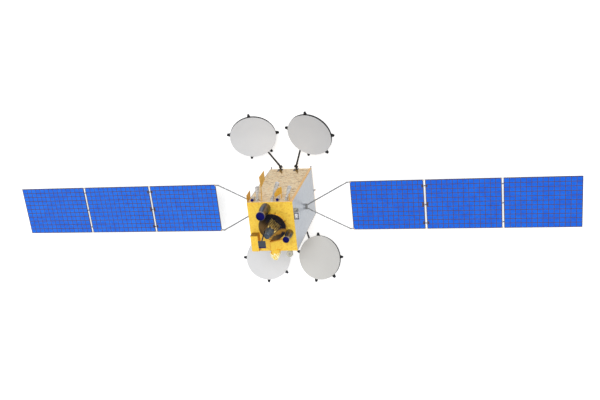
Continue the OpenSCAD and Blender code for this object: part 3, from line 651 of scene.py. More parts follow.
def blanket(shape, corner, across, up, size, pitch, depth, crumple, seed, holes=(), cover=0.006):
    """Sheet of blanket on a wall, with its outside crumpled. Holes are (u, v, radius) on the sheet."""
    corner, across, up = Vector(corner), Vector(across), Vector(up)
    out = across.cross(up)
    nu, nv = (max(1, round(s / pitch)) for s in size)
    grid = np.stack(np.meshgrid(np.linspace(0, size[0], nu + 1), np.linspace(0, size[1], nv + 1),
                                indexing="ij"), -1).reshape(-1, 2)
    quads = [[i * (nv + 1) + j, (i + 1) * (nv + 1) + j, (i + 1) * (nv + 1) + j + 1, i * (nv + 1) + j + 1]
             for i in range(nu) for j in range(nv)]
    for u, v, r in holes:
        quads = [q for q in quads if np.hypot(*(grid[q].mean(0) - (u, v))) > r]
        away = grid - (u, v)
        reach = np.hypot(away[:, 0], away[:, 1])
        near = (reach < r + pitch * 0.3) & (reach > 1e-9)
        grid[near] = np.array([u, v]) + away[near] / reach[near][:, None] * r
    used = sorted({i for q in quads for i in q})
    fresh = {old: new for new, old in enumerate(used)}
    quads, grid = [[fresh[i] for i in q] for q in quads], grid[used]
    flat = np.array(corner) + grid[:, :1] * np.array(across) + grid[:, 1:] * np.array(up)
    edge = np.minimum.reduce([grid[:, 0], grid[:, 1], size[0] - grid[:, 0], size[1] - grid[:, 1]])
    rise = cover + depth * np.clip(edge / 0.03, 0.25, 1) * (
        creases(flat, crumple, seed) + 0.3 * creases(flat, np.array(crumple) * 0.3, seed + 1))
    rise = np.maximum(rise, 0.0015)
    count = len(grid)
    rim = {}
    for q in quads:
        for a, b in zip(q, q[1:] + q[:1]):
            rim[a, b] = rim.get((a, b), 0) + 1
    sides = [[b, a, a + count, b + count] for a, b in rim if (b, a) not in rim]
    points = np.concatenate([flat + rise[:, None] * np.array(out), flat - 0.001 * np.array(out)])
    return shape.solid(points, quads + [[i + count for i in q[::-1]] for q in quads] + sides)


def dress_tube(shape, start, along, side, collars, collar, loom, loom_r, stations, band, clip):
    """Fittings of a round tube that runs along from start: collars, a loom on its side, bands and clips.

    collars are (from, to, radius), collar is (end radius, taper, sides), loom is (station, offset to the side),
    band is (half width, radius, sides) and clip is (offset to the side, radius). Paints 0, 1 and 2 in that order.
    """
    shape.paint(0)
    for a, b, r in collars:
        path = [start + along * t for t in (a, a + collar[1], (a + b) / 2, b - collar[1], b)]
        shape.tube(path, [collar[0], r, r, r, collar[0]], collar[2])
    shape.paint(1).tube([start + along * t + side * offset for t, offset in loom], loom_r, 8)
    shape.paint(2)
    for t in stations:
        middle = start + along * t
        for at, half, r, sides in ((middle, *band), (middle + side * clip[0], band[0] + 0.001, clip[1], 12)):
            shape.tube([at - along * half, at + along * half], r, sides)


# ---- Carried-over CAD nodes ----

NODE_LOOKS = {
    "earth_deck": deck_gold, "anti_earth_deck": beige, "east_wall": beige, "west_wall": beige,
    "north_radiator": radiator_tiles, "south_radiator": radiator_tiles, "tank_block": tank_metal,
    "launch_adapter_ring": aluminium, "north_wing_drive": aluminium, "south_wing_drive": aluminium,
    "north_wing_hub": tube_grey, "south_wing_hub": tube_grey, "north_yoke": tube_grey,
    "south_yoke": tube_grey,
}
for ew, ns, _, _ in CORNERS:
    NODE_LOOKS[f"{ew}_{ns}_bracket"] = NODE_LOOKS[f"{ew}_{ns}_boom"] = carbon
for ns in SIDES:
    for name in PANEL_NAMES:
        NODE_LOOKS[f"{ns}_{name}_panel"] = panel_edge
for node, look in NODE_LOOKS.items():
    for k in range(len(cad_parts[node].material_slots)):
        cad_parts[node].material_slots[k].material = look.material


# ---- Bus blankets, radiators and tapes ----

LIFT_X, LIFT_Y = HALF_X - 0.09, HALF_Y - 0.09
EDGE = 0.012
signs = list(product((-1, 1), repeat=2))
deck = Shape()
blanket(deck, (-HALF_X + EDGE, -HALF_Y + EDGE, DECK_Z), X, Y, (2 * (HALF_X - EDGE), 2 * (HALF_Y - EDGE)),
        0.0145, 0.0035, (0.11, 0.11, 0.11), 11, cover=0.007,
        holes=[(HALF_X - EDGE + sx * LIFT_X, HALF_Y - EDGE + sy * LIFT_Y, 0.024) for sx, sy in signs])
deck.build("deck_blanket", deck_gold, "bus", "gold_foil", 60)

grommets = Shape()
for sx, sy in signs:
    grommets.turned([(0.0095, -0.004), (0.0095, 0.011), (0.013, 0.013), (0.03, 0.013), (0.034, 0.009),
                     (0.034, 0.0), (0.02, -0.004)], shift(sx * LIFT_X, sy * LIFT_Y, DECK_Z), 40, True)
grommets.build("lifting_grommets", box_gold, "bus", "gold_foil")

WALL_LOW = RING_TOP + 0.03
WALL_TALL = DECK_Z - 0.03 - WALL_LOW
TAPE_WIDE = 0.11
for ew, sy in (("east", 1), ("west", -1)):
    wall = Shape()
    blanket(wall, (sy * (HALF_X - 0.05), sy * HALF_Y, WALL_LOW + 0.01), X * -sy, Z,
            (2 * (HALF_X - 0.05), WALL_TALL - 0.02), 0.019, 0.005, (0.15, 0.1, 0.075), 21 + sy, cover=0.009)
    wall.build(f"{ew}_wall_blanket", beige, "bus", "beige_blanket", 60)
    tapes = Shape()
    u = X * -sy
    start = HALF_X - (1 + u.x) * TAPE_WIDE / 2
    blanket(tapes, (start, sy * HALF_Y, WALL_LOW), u, Z, (TAPE_WIDE, WALL_TALL), 0.016, 0.0015,
            (0.05, 0.05, 0.05), 31, cover=0.018)
    tapes.build(f"{ew}_wall_tapes", tape_gold, "bus", "gold_foil", 60)

    buttons = Shape()
    draw = np.random.default_rng(41 + sy)
    for u in np.arange(-0.84, 0.85, 0.28):
        for z in np.arange(0.62, 4.4, 0.42):
            x = u + draw.uniform(-0.03, 0.03)
            place = shift(x, sy * (HALF_Y + 0.004), z + draw.uniform(-0.04, 0.04)) @ facing(Y * sy)
            buttons.turned([(0, 0), (0.013, 0), (0.013, 0.006), (0.009, 0.0095), (0, 0.0105)], place, 14)
    buttons.build(f"{ew}_blanket_buttons", fitting_beige, "bus", "beige_blanket")

under = Shape()
blanket(under, (-HALF_X + EDGE, HALF_Y - EDGE, RING_TOP), X, -Y, (2 * (HALF_X - EDGE), 2 * (HALF_Y - EDGE)),
        0.021, 0.004, (0.13, 0.13, 0.13), 51, cover=0.008,
        holes=[(HALF_X - EDGE, HALF_Y - EDGE, RING_R - 0.045)])
blanket(under, (-0.5, 0.5, RING_TOP), X, -Y, (1.0, 1.0), 0.02, 0.004, (0.1, 0.1, 0.1), 53, cover=0.008,
        holes=[(0.5, 0.5, 0.14)])
under.build("anti_earth_blanket", box_gold, "bus", "gold_foil", 60)

RAD_COLS, RAD_ROWS, SEAM = 6, 11, 0.005
for ns, sx in SIDES.items():
    tiles = Shape()
    wide, tall = 2 * (HALF_Y - 0.02) / RAD_COLS, WALL_TALL / RAD_ROWS
    for i in range(RAD_COLS):
        for j in range(RAD_ROWS):
            y0, z0 = -HALF_Y + 0.02 + i * wide, WALL_LOW + j * tall
            near = Vector((max(y0, min(0, y0 + wide)), max(z0, min(WING_Z, z0 + tall)) - WING_Z))
            if near.length < 0.16:
                continue
            tiles.block((sx * (HALF_X - 0.001), y0 + SEAM / 2, z0 + SEAM / 2),
                        (sx * (HALF_X + 0.0025), y0 + wide - SEAM / 2, z0 + tall - SEAM / 2), 0.001)
    tiles.build(f"{ns}_radiator_tiles", radiator_tiles, "bus", "radiator")
    trim = Shape()
    for sy in (-1, 1):
        trim.block((sx * (HALF_X - 0.001), sy * HALF_Y, WALL_LOW - 0.02),
                   (sx * (HALF_X + 0.005), sy * (HALF_Y - 0.018), DECK_Z - 0.012), 0.0015)
    for z in (WALL_LOW - 0.028, DECK_Z - 0.028):
        trim.block((sx * (HALF_X - 0.001), -HALF_Y, z), (sx * (HALF_X + 0.006), HALF_Y, z + 0.018), 0.0015)
    trim.bolts([(sx * (HALF_X + 0.005), sy * (HALF_Y - 0.009), z) for sy in (-1, 1)
                for z in np.arange(0.45, 4.6, 0.3)], X * sx, 0.005, 0.004)
    trim.build(f"{ns}_radiator_trim", aluminium, "bus", "structure")


# ---- Earth deck: bowl, tower, horns and foil ----

def bowl_z(r):
    return BOWL_RIM_Z - BOWL_DEPTH + BOWL_DEPTH * (r / BOWL_R) ** 2


SEAT_R = 0.385
bowl = Shape(Matrix.Translation(BOWL))
front = [(r, bowl_z(r)) for r in (SEAT_R + (BOWL_R - SEAT_R) * k / 24 for k in range(25))]
lip = [(BOWL_R - 0.004, BOWL_RIM_Z + 0.001), (BOWL_R, BOWL_RIM_Z - 0.004), (BOWL_R, BOWL_RIM_Z - 0.028)]
bowl.turned([(0, front[0][1])] + front[:-1] + lip + [(r, z - 0.014) for r, z in front[-2::-1]] +
            [(0.25, front[0][1] - 0.014), (0.25, 0.0), (0, 0)], steps=128)
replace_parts(bowl.build("deck_bowl_shell", bowl_mirror, "bus", "dark_mirror"), "deck_bowl")

rim = Shape(Matrix.Translation(BOWL))
rim.turned([(BOWL_R - 0.008, BOWL_RIM_Z - 0.03), (BOWL_R + 0.005, BOWL_RIM_Z - 0.03),
            (BOWL_R + 0.006, BOWL_RIM_Z - 0.012), (BOWL_R - 0.002, BOWL_RIM_Z - 0.009)], steps=128, loop=True)
for foot, top in zip(circle(0.56, 0.004, 6, 0.3), circle(0.47, bowl_z(0.47) - 0.012, 6, 0.3)):
    foot = Vector(foot)
    rim.tube([foot, foot.lerp(Vector(top), 0.5), top], 0.012)
    rim.turned([(0, 0), (0.03, 0), (0.03, 0.007), (0, 0.007)], shift(foot.x, foot.y, 0.001), 20)
rim.build("deck_bowl_rim", brown_gold, "bus", "gold_foil")

skirt = Shape(Matrix.Translation(BOWL))
skirt.turned([(0.26, 0.01), (0.5, 0.01), (0.53, 0.04), (0.46, bowl_z(0.46) - 0.035),
              (0.38, bowl_z(0.38) - 0.03), (0.26, front[0][1] - 0.025)], steps=140, loop=True)
skirt.build("deck_bowl_skirt", box_gold, "bus", "gold_foil", 50, wrinkle=(0.006, (0.09, 0.09, 0.12), 61))

TOWER_TOP, TOWER_FOOT_R, TOWER_HEAD_R = 0.8, 0.378, 0.298
LEVELS, CUTS = 44, 24
AROUND = 4 * CUTS
tower = Shape(Matrix.Translation(BOWL))
points, faces = [], []
corners = [Vector(corner) for corner in circle(1, 0, 4)]
for k in range(LEVELS + 1):
    share = k / LEVELS
    r = TOWER_FOOT_R + (TOWER_HEAD_R - TOWER_FOOT_R) * share
    z = front[0][1] + (TOWER_TOP - 0.002 - front[0][1]) * share
    for i in range(4):
        points += [(*(corners[i].lerp(corners[(i + 1) % 4], j / CUTS) * r).xy, z) for j in range(CUTS)]
for low in range(0, LEVELS * AROUND, AROUND):
    faces += [[low + i, low + (i + 1) % AROUND, low + AROUND + (i + 1) % AROUND, low + AROUND + i]
              for i in range(AROUND)]
faces += [list(range(AROUND))[::-1], [LEVELS * AROUND + i for i in range(AROUND)]]
tower.solid(points, faces)
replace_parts(tower.build("feed_tower_foil", tower_film, "bus", "gold_foil", 28,
                        wrinkle=(0.006, (0.12, 0.12, 0.09), 63)), "deck_feed_tower")

feed = Shape(Matrix.Translation(BOWL))
feed.turned([(0, 0.797), (0.19, 0.797), (0.19, 0.81), (0.183, 0.83), (0.176, 0.835), (0.162, 0.96),
             (0.168, 0.965), (0.166, 0.985), (0.158, 0.99), (0.142, 1.14), (0.147, 1.145), (0.145, 1.165),
             (0.138, 1.17), (0.123, 1.27), (0.129, 1.275), (0.127, 1.29), (0.117, 1.295), (0.115, 1.34),
             (0.104, 1.34), (0.1, 1.31), (0, 1.3)], steps=96)
feed.paint(1).turned([(0.117, 1.306), (0.123, 1.31), (0.123, 1.328), (0.117, 1.332)], steps=96, loop=True)
feed.paint(2).turned([(0, 1.295), (0.099, 1.295), (0.101, 1.318), (0.07, 1.326), (0, 1.33)], steps=72)
feed.build("tower_feed", [feed_blue, frame_grey, feed_blue], "bus", "dark_metal")

arm = Shape(Matrix.Translation(BOWL))
ARM_FOOT, ARM_TOP = Vector((-0.235, 0, 0.845)), Vector((-0.05, 0, 2.165))
arm.block((-0.265, -0.03, 0.8), (-0.205, 0.03, 0.849), 0.006)
run = [ARM_FOOT.lerp(ARM_TOP, k / 16) for k in range(17)]
arm.tube(run, [0.034, 0.034] + [0.031] * 13 + [0.034, 0.034], 24)
for k in (4, 8, 12):
    arm.tube([run[k], run[k].lerp(run[k + 1], 0.2)], 0.034, 24)
arm.block((-0.165, -0.165, 2.15), (0.165, 0.165, 2.178), 0.004)
arm.paint(1).block((-0.158, -0.118, 2.178), (0.158, 0.158, 2.19), 0.006)
arm.bolts([(i * 0.135, j * 0.13 + 0.02, 2.188) for i in (-1, 1) for j in (-0.9, 0.9)], Z, 0.007, 0.005)
arm.paint(2).block((-0.158, -0.161, 2.178), (0.158, -0.124, 2.186), 0.004)
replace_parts(arm.build("subreflector_plate", [dark_metal, square_grey, navy_cover], "bus", "dark_metal"),
            "deck_subreflector")


def deck_horn(name, node, at, height, mouth, base):
    """Horn on its film-wrapped body, from a broad foot through a waist to a ringed mouth."""
    neck = mouth * 0.72
    horn = Shape(Matrix.Translation(at))
    side = [(base * 0.985, 0.012), (base * 0.99, height * 0.12), (base * 0.985, height * 0.31)]
    side += [(base * 0.985 + (neck - base * 0.985) * (0.5 - 0.5 * cos(pi * k / 10)),
              height * (0.34 + 0.36 * k / 10)) for k in range(11)]
    side += [(neck + (mouth - neck) * (k / 8) ** 1.6, height * (0.72 + 0.21 * k / 8)) for k in range(1, 8)]
    dense = []
    for (r0, z0), (r1, z1) in zip(side, side[1:]):
        dense += [(r0 + (r1 - r0) * t / 3, z0 + (z1 - z0) * t / 3) for t in range(3)]
    horn.turned([(0, 0.012)] + dense + [side[-1], (0, side[-1][1])], steps=96)
    body = horn.build(name + "_body", horn_look(name + "_film", at, base), "bus", "dark_metal", 40,
                      wrinkle=(mouth * 0.012, (0.06, 0.06, 0.2), 71))
    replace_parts(body, node)
    top = Shape(Matrix.Translation(at))
    cup = height * 0.955
    top.turned([(mouth * 0.93, height * 0.9), (mouth * 0.99, height * 0.925), (mouth, height * 0.94),
                (mouth, height), (mouth - 0.014, height), (mouth - 0.014, cup), (mouth * 0.85, cup - 0.01)],
               steps=96, loop=True)
    inner, outer = mouth - 0.002, mouth + 0.003
    top.paint(1).turned([(inner, height * 0.918), (outer, height * 0.922), (outer, height * 0.938),
                         (inner, height * 0.942)], steps=96, loop=True)
    top.paint(2).turned([(0, cup - 0.008), (mouth - 0.013, cup - 0.008), (mouth - 0.013, cup + 0.004),
                (mouth * 0.7, cup + 0.009), (mouth * 0.3, cup + 0.013), (0, cup + 0.014)], steps=96)
    top.build(name + "_mouth", [dark_metal, ring_blush, navy_cover], "bus", "dark_metal")
    foot = Shape(Matrix.Translation(at))
    foot.turned([(base * 0.8, 0.0), (base, 0.0), (base, 0.01), (base * 0.99, 0.016), (base * 0.8, 0.016)],
                steps=96, loop=True)
    foot.paint(1).bolts(circle(base * 0.975, 0.014, 16), Z, 0.004, 0.004)
    foot.build(name + "_foot", [aluminium, dark_metal], "bus", "structure")


deck_horn("large_horn", "large_deck_horn", LARGE_HORN, 1.02, 0.2, 0.23)
deck_horn("small_horn", "small_deck_horn", SMALL_HORN, 0.8, 0.15, 0.17)

chest = Shape().puffed(CHEST_LOW, CHEST_HIGH, 0.016)
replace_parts(chest.build("deck_box_foil", chest_gold, "bus", "gold_foil", 50,
                        wrinkle=(0.006, (0.13, 0.13, 0.13), 81)), "deck_foil_box")

house = Shape().slab([(HOUSE_SOUTH, 0), (0.43, 0), (0.276, 0.126), (HOUSE_SOUTH, 0.325)], 0.46, 0.018,
                     shift(0, HOUSE_EAST, DECK_Z) @ Matrix.Rotation(pi / 2, 4, "X"))
house.puffed((-0.126, -HALF_Y - 0.03, DECK_Z), (0.256, -HALF_Y + 0.14, DECK_Z + 0.255), 0.016)
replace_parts(house.build("west_housing_foil", house_gold, "bus", "gold_foil", 50,
                        wrinkle=(0.006, (0.13, 0.13, 0.13), 83)), "west_foil_housing")
hood = Shape().slab([(-0.18, -0.012), (-0.142, -0.21), (-0.03, -0.345), (0.106, -0.345), (0.22, -0.196),
                     (0.26, -0.012)], 0.39, 0.014, shift(0, -HALF_Y, DECK_Z - 0.14))
hood.build("west_hood_foil", bright_gold, "bus", "gold_foil", 22, wrinkle=(0.014, (0.075, 0.075, 0.1), 85))


# ---- Side feeds, shields, sensor and patch ----

def side_feeds(wall, spots, lean, mouth=0.095):
    """Foil-wrapped feed horns on one wall, with their foot blocks and mouths."""
    wraps, mouths, feet = Shape(), Shape(), Shape()
    for x, z, tilt, share in spots:
        length = 0.95 * share
        place = shift(x, wall * (HALF_Y + 0.11), DECK_Z + z) @ facing((tilt, wall * lean, -0.86))
        side = [(mouth * 0.6, 0.0), (mouth * 0.54, length * 0.3), (mouth * 0.83, length * 0.6),
                (mouth * 0.97, length * 0.95)]
        dense = []
        for (r0, z0), (r1, z1) in zip(side, side[1:]):
            steps = max(2, round((z1 - z0) / 0.015))
            dense += [(r0 + (r1 - r0) * k / steps, z0 + (z1 - z0) * k / steps) for k in range(steps)]
        wraps.turned([(0, 0)] + dense + [side[-1], (0, side[-1][1])], place, 48)
        mouths.paint(0).turned([(mouth * 0.9, length * 0.93), (mouth, length * 0.935), (mouth, length),
                                (mouth - 0.006, length), (mouth - 0.008, length * 0.96),
                                (mouth * 0.85, length * 0.95)], place, 48, True)
        mouths.paint(1).turned([(0, length * 0.94), (mouth - 0.006, length * 0.94),
                                (mouth - 0.007, length * 0.97), (0, length * 0.975)], place, 48)
        low = Vector((x - 0.06, wall * HALF_Y, DECK_Z + z - 0.06))
        high = Vector((x + 0.06, wall * (HALF_Y + 0.148), DECK_Z + z + 0.06))
        feet.paint(0).block(low, high, 0.008)
        feet.paint(1).bolts([(x + i * 0.045, wall * (HALF_Y + 0.147), DECK_Z + z + k * 0.045)
                             for i in (-1, 1) for k in (-1, 1)], Y * wall, 0.006, 0.004)
    side = "east" if wall > 0 else "west"
    body = wraps.build(f"{side}_feed_wraps", silver_foil, "bus", "horn_foil", 26,
                       wrinkle=(0.009, (0.05, 0.05, 0.12), 91))
    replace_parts(body, f"{side}_feed_horns")
    mouths.build(f"{side}_feed_mouths", [aluminium, navy_cover], "bus", "horn_foil")
    feet.build(f"{side}_feed_feet", [silver_foil, aluminium], "bus", "horn_foil")


side_feeds(1, [(-0.59, -0.19, -0.18, 0.72), (0.11, -0.12, 0.1, 1.0), (0.74, -0.19, 0.08, 0.7)], 0.45)
side_feeds(-1, [(-0.64, -0.42, -0.22, 0.6), (0.64, -0.42, 0.22, 0.6)], 0.34)

earthward = Shape()
for x in (-0.79, 0.37):
    place = shift(x, HALF_Y + 0.11, DECK_Z)
    levels = [(0.052 + 0.012 * (k / 20), -0.34 + 0.3 * k / 20) for k in range(21)]
    earthward.paint(0).turned([(0, -0.34)] + levels + [(0, levels[-1][1])], place, 40)
    earthward.paint(1).turned([(0.06, -0.045), (0.068, -0.04), (0.068, -0.01), (0.061, -0.01),
                               (0.058, -0.03)], place, 40, True)
    earthward.paint(2).turned([(0, -0.035), (0.0615, -0.035), (0.0615, -0.012), (0, -0.009)], place, 40)
    earthward.paint(3).block((x - 0.03, HALF_Y, DECK_Z - 0.32), (x + 0.03, HALF_Y + 0.09, DECK_Z - 0.26),
                             0.004)
earthward.build("east_wall_horns", [silver_foil, dark_metal, navy_cover, aluminium], "bus", "horn_foil", 30)


PLATE_T = 0.012
STAND = Matrix(((0, 0, 1, 0), (1, 0, 0, 0), (0, 1, 0, 0), (0, 0, 0, 1)))
shields = Shape()
for x, outline in (
        (-HALF_X + 0.01, [(0, -0.6), (0.35, -0.68), (0.33, -0.05), (0.04, -0.02), (0, -0.06)]),
        (-0.38, [(0, -0.2), (0.6, -0.3), (0.72, -1.0), (1.14, -1.03), (1.14, -0.15), (0.62, -0.2), (0, -0.08)]),
        (0.9, [(0, -0.24), (0.34, -0.2), (0.34, -0.06), (0, -0.06)])):
    shields.slab(outline, PLATE_T, 0.018, shift(x, HALF_Y, DECK_Z) @ STAND)
shields.slab([(0, 0.36), (0.02, 0.18), (0.475, 0.26), (0.47, 0.55), (0.2, 0.53)], PLATE_T, 0.018,
             shift(0.24, HALF_Y, DECK_Z - 0.1) @ Matrix.Rotation(radians(58), 4, "Y"))
shields.block((0.445, HALF_Y, DECK_Z - 0.48), (0.48, HALF_Y + 0.32, DECK_Z - 0.44), 0.004)
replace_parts(shields.build("east_shield_foil", plate_gold, "bus", "gold_foil", 50,
                          wrinkle=(0.0035, (0.16, 0.16, 0.16), 101)), "east_shield_plates")

SENSOR = Vector((HALF_X, 0.33, DECK_Z - 0.25))
eye = Shape(Matrix.Translation(SENSOR))
eye.block((0, 0, 0), (0.215, 0.32, 0.19), 0.008)
eye.block((0.02, 0.02, 0.19), (0.2, 0.3, 0.197), 0.003)
eye.paint(1)
for low, high in (((0, 0, 0.19), (0.215, 0.04, 0.235)), ((0, 0.28, 0.19), (0.215, 0.32, 0.235)),
                  ((0, 0.04, 0.19), (0.033, 0.28, 0.235)), ((0.182, 0.04, 0.19), (0.215, 0.28, 0.235))):
    eye.block(low, high, 0.005)
LENS = shift(0.108, 0.12, 0)
eye.paint(2).turned([(0, 0.197), (0.05, 0.197), (0.048, 0.208), (0.03, 0.216), (0, 0.219)], LENS, 48)
eye.paint(3).turned([(0.049, 0.197), (0.062, 0.197), (0.062, 0.215), (0.052, 0.218)], LENS, 48, True)
eye.paint(1).bolts([(0.2155, y, z) for y in (0.03, 0.29) for z in (0.03, 0.16)], X, 0.007, 0.005)
eye.paint(4).block((0, 0.32, 0), (0.19, 0.468, 0.112), 0.006)
eye.paint(1).block((0, 0.322, 0.112), (0.19, 0.345, 0.12), 0.002)
eye.block((0.165, 0.345, 0.112), (0.19, 0.468, 0.12), 0.002)
eye.turned([(0, 0.112), (0.028, 0.112), (0.028, 0.118), (0, 0.119)], shift(0.12, 0.4, 0), 32)
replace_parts(eye.build("earth_sensor_unit", [white_paint, frame_grey, white_paint, aluminium, patch_grey],
                      "bus", "white_paint"), "earth_sensor")

patch = Shape(shift(0.62, -HALF_Y - 0.24, DECK_Z - 0.2) @ Matrix.Rotation(radians(-20), 4, "X"))
patch.turned([(0, 0), (0.135, 0), (0.15, 0.012), (0.15, 0.05), (0.146, 0.056), (0.12, 0.052), (0.118, 0.058),
              (0.06, 0.057), (0, 0.057)], steps=80)
patch.paint(1).turned([(0, 0.056), (0.05, 0.056), (0.047, 0.06), (0.02, 0.061), (0, 0.061)], steps=60)
patch.paint(2).bolts(circle(0.133, 0.053, 8), Z, 0.005, 0.004)
patch.place = Matrix.Identity(4)
patch.paint(0).block((0.59, -HALF_Y - 0.2, DECK_Z - 0.24), (0.65, -HALF_Y, DECK_Z - 0.18), 0.006)
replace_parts(patch.build("west_patch_disc", [patch_grey, tube_grey, aluminium], "bus", "structure"),
            "west_patch_antenna")


# ---- Ring, engine and thrusters ----

ring = Shape()
for spot in circle(RING_R + 0.001, 0.228, 60):
    ring.bolts([spot], (spot[0], spot[1], 0), 0.006, 0.005)
for k in range(12):
    ring.block((RING_R - 0.002, -0.014, 0.05), (RING_R + 0.008, 0.014, 0.2), 0.003,
               Matrix.Rotation(2 * pi * (k + 0.5) / 12, 4, "Z"))
for sy in (-1, 1):
    ring.paint(1).block((-0.05, sy * (RING_R - 0.004), 0.09), (0.05, sy * (RING_R + 0.011), 0.17), 0.004)
    ring.paint(0).bolts([(x, sy * (RING_R + 0.011), z) for x in (-0.04, 0.04) for z in (0.1, 0.16)],
                        Y * sy, 0.005, 0.004)
ring.build("ring_fasteners", [aluminium, dark_metal], "bus", "structure")

EXIT_Z, THROAT_Z, HEAD_Z = 0.045, 0.38, 0.56
engine = Shape()
bell = [(0.028 + 0.122 * (k / 24) ** 0.7, THROAT_Z + (EXIT_Z - THROAT_Z) * k / 24) for k in range(25)]
engine.turned(bell + [(r + 0.004, z) for r, z in bell[::-1]], steps=96, loop=True)
for share in (0.25, 0.5, 0.75, 0.99):
    r, z = 0.028 + 0.122 * share ** 0.7, THROAT_Z + (EXIT_Z - THROAT_Z) * share
    engine.tube(circle(r + 0.004, z, 72), 0.004, 8, True)
engine.paint(1).turned([(0.03, THROAT_Z - 0.002), (0.042, THROAT_Z), (0.06, THROAT_Z + 0.03),
                        (0.07, THROAT_Z + 0.06), (0.07, HEAD_Z - 0.03), (0.084, HEAD_Z - 0.026),
                        (0.084, HEAD_Z - 0.006), (0.07, HEAD_Z), (0, HEAD_Z), (0, THROAT_Z + 0.06),
                        (0.028, THROAT_Z + 0.004)], steps=64)
for a in (0.6, 2.7, 4.8):
    engine.tube([(0.074 * cos(a), 0.074 * sin(a), HEAD_Z - 0.04), (0.1 * cos(a), 0.1 * sin(a), HEAD_Z - 0.06),
                 (0.11 * cos(a), 0.11 * sin(a), 0.34), (0.118 * cos(a), 0.118 * sin(a), 0.29)], 0.007)
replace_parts(engine.build("engine_bell", [nozzle_metal, dark_metal], "bus", "dark_metal"), "apogee_engine")

pods, jets = Shape(), Shape()
POD, INSET = 0.08, 0.05
CANT = radians(40)
mounts = [(sx * (HALF_X - INSET), sy * (HALF_Y - INSET), Matrix.Rotation(sy * CANT, 4, "X")) for sx, sy in signs]
mounts += [(sx * (HALF_X - INSET), 0, Matrix.Rotation(-sx * CANT, 4, "Y")) for sx in (-1, 1)]
for x, y, turn in mounts:
    pods.puffed((x - POD / 2 + 0.002, y - POD / 2 + 0.002, RING_TOP - 0.046),
                (x + POD / 2 - 0.002, y + POD / 2 - 0.002, RING_TOP - 0.001), 0.01)
    place = shift(x, y, RING_TOP - 0.025) @ turn
    jets.paint(0).turned([(0, 0), (0.018, 0), (0.018, -0.05), (0.014, -0.06), (0.022, -0.063),
                          (0.022, -0.068), (0, -0.068)], place, 32)
    wide = [(0.009 + 0.025 * (k / 10) ** 0.8, -0.0675 - 0.0825 * k / 10) for k in range(11)]
    inside = [(r - 0.003 if r > 0.012 else r - 0.004, z) for r, z in wide[::-1]]
    jets.paint(1).turned(wide + inside, place, 40, True)
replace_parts(pods.build("thruster_pods", box_gold, "bus", "gold_foil", 40,
                       wrinkle=(0.002, (0.03, 0.03, 0.03), 111)), "thrusters")
jets.build("thruster_jets", [dark_metal, nozzle_metal], "bus", "dark_metal")


# ---- Wings ----

def wing_x(index):
    return WING_ROOT_X + index * (PANEL_LENGTH + PANEL_GAP)


def starts(first, count, pitch, cell):
    """Where each cell of a row starts. The cells stand in groups, pitch apart."""
    return [first + i // SPLIT * pitch + i % SPLIT * (cell + CELL_LINE) for i in range(count * SPLIT)]


COLUMNS, ROWS, SPLIT = 14, 11, 3
BORDER, COLUMN_LINE, ROW_LINE, CELL_LINE = 0.022, 0.026, 0.03, 0.0012
HINGE_REACH = 0.07
EDGE_HINGES = (-EDGE_HINGE_Y, 0, EDGE_HINGE_Y)
CELL_FACES = (0, 3, 2, 1), (4, 5, 6, 7), (0, 1, 5, 4), (1, 2, 6, 5), (2, 3, 7, 6), (3, 0, 4, 7)
TOP, UNDER = WING_Z + PANEL_T / 2, WING_Z - PANEL_T / 2
FIT = 0.0135
hinges_up = {"inner": (False, True), "middle": (True, False), "outer": (False, False)}

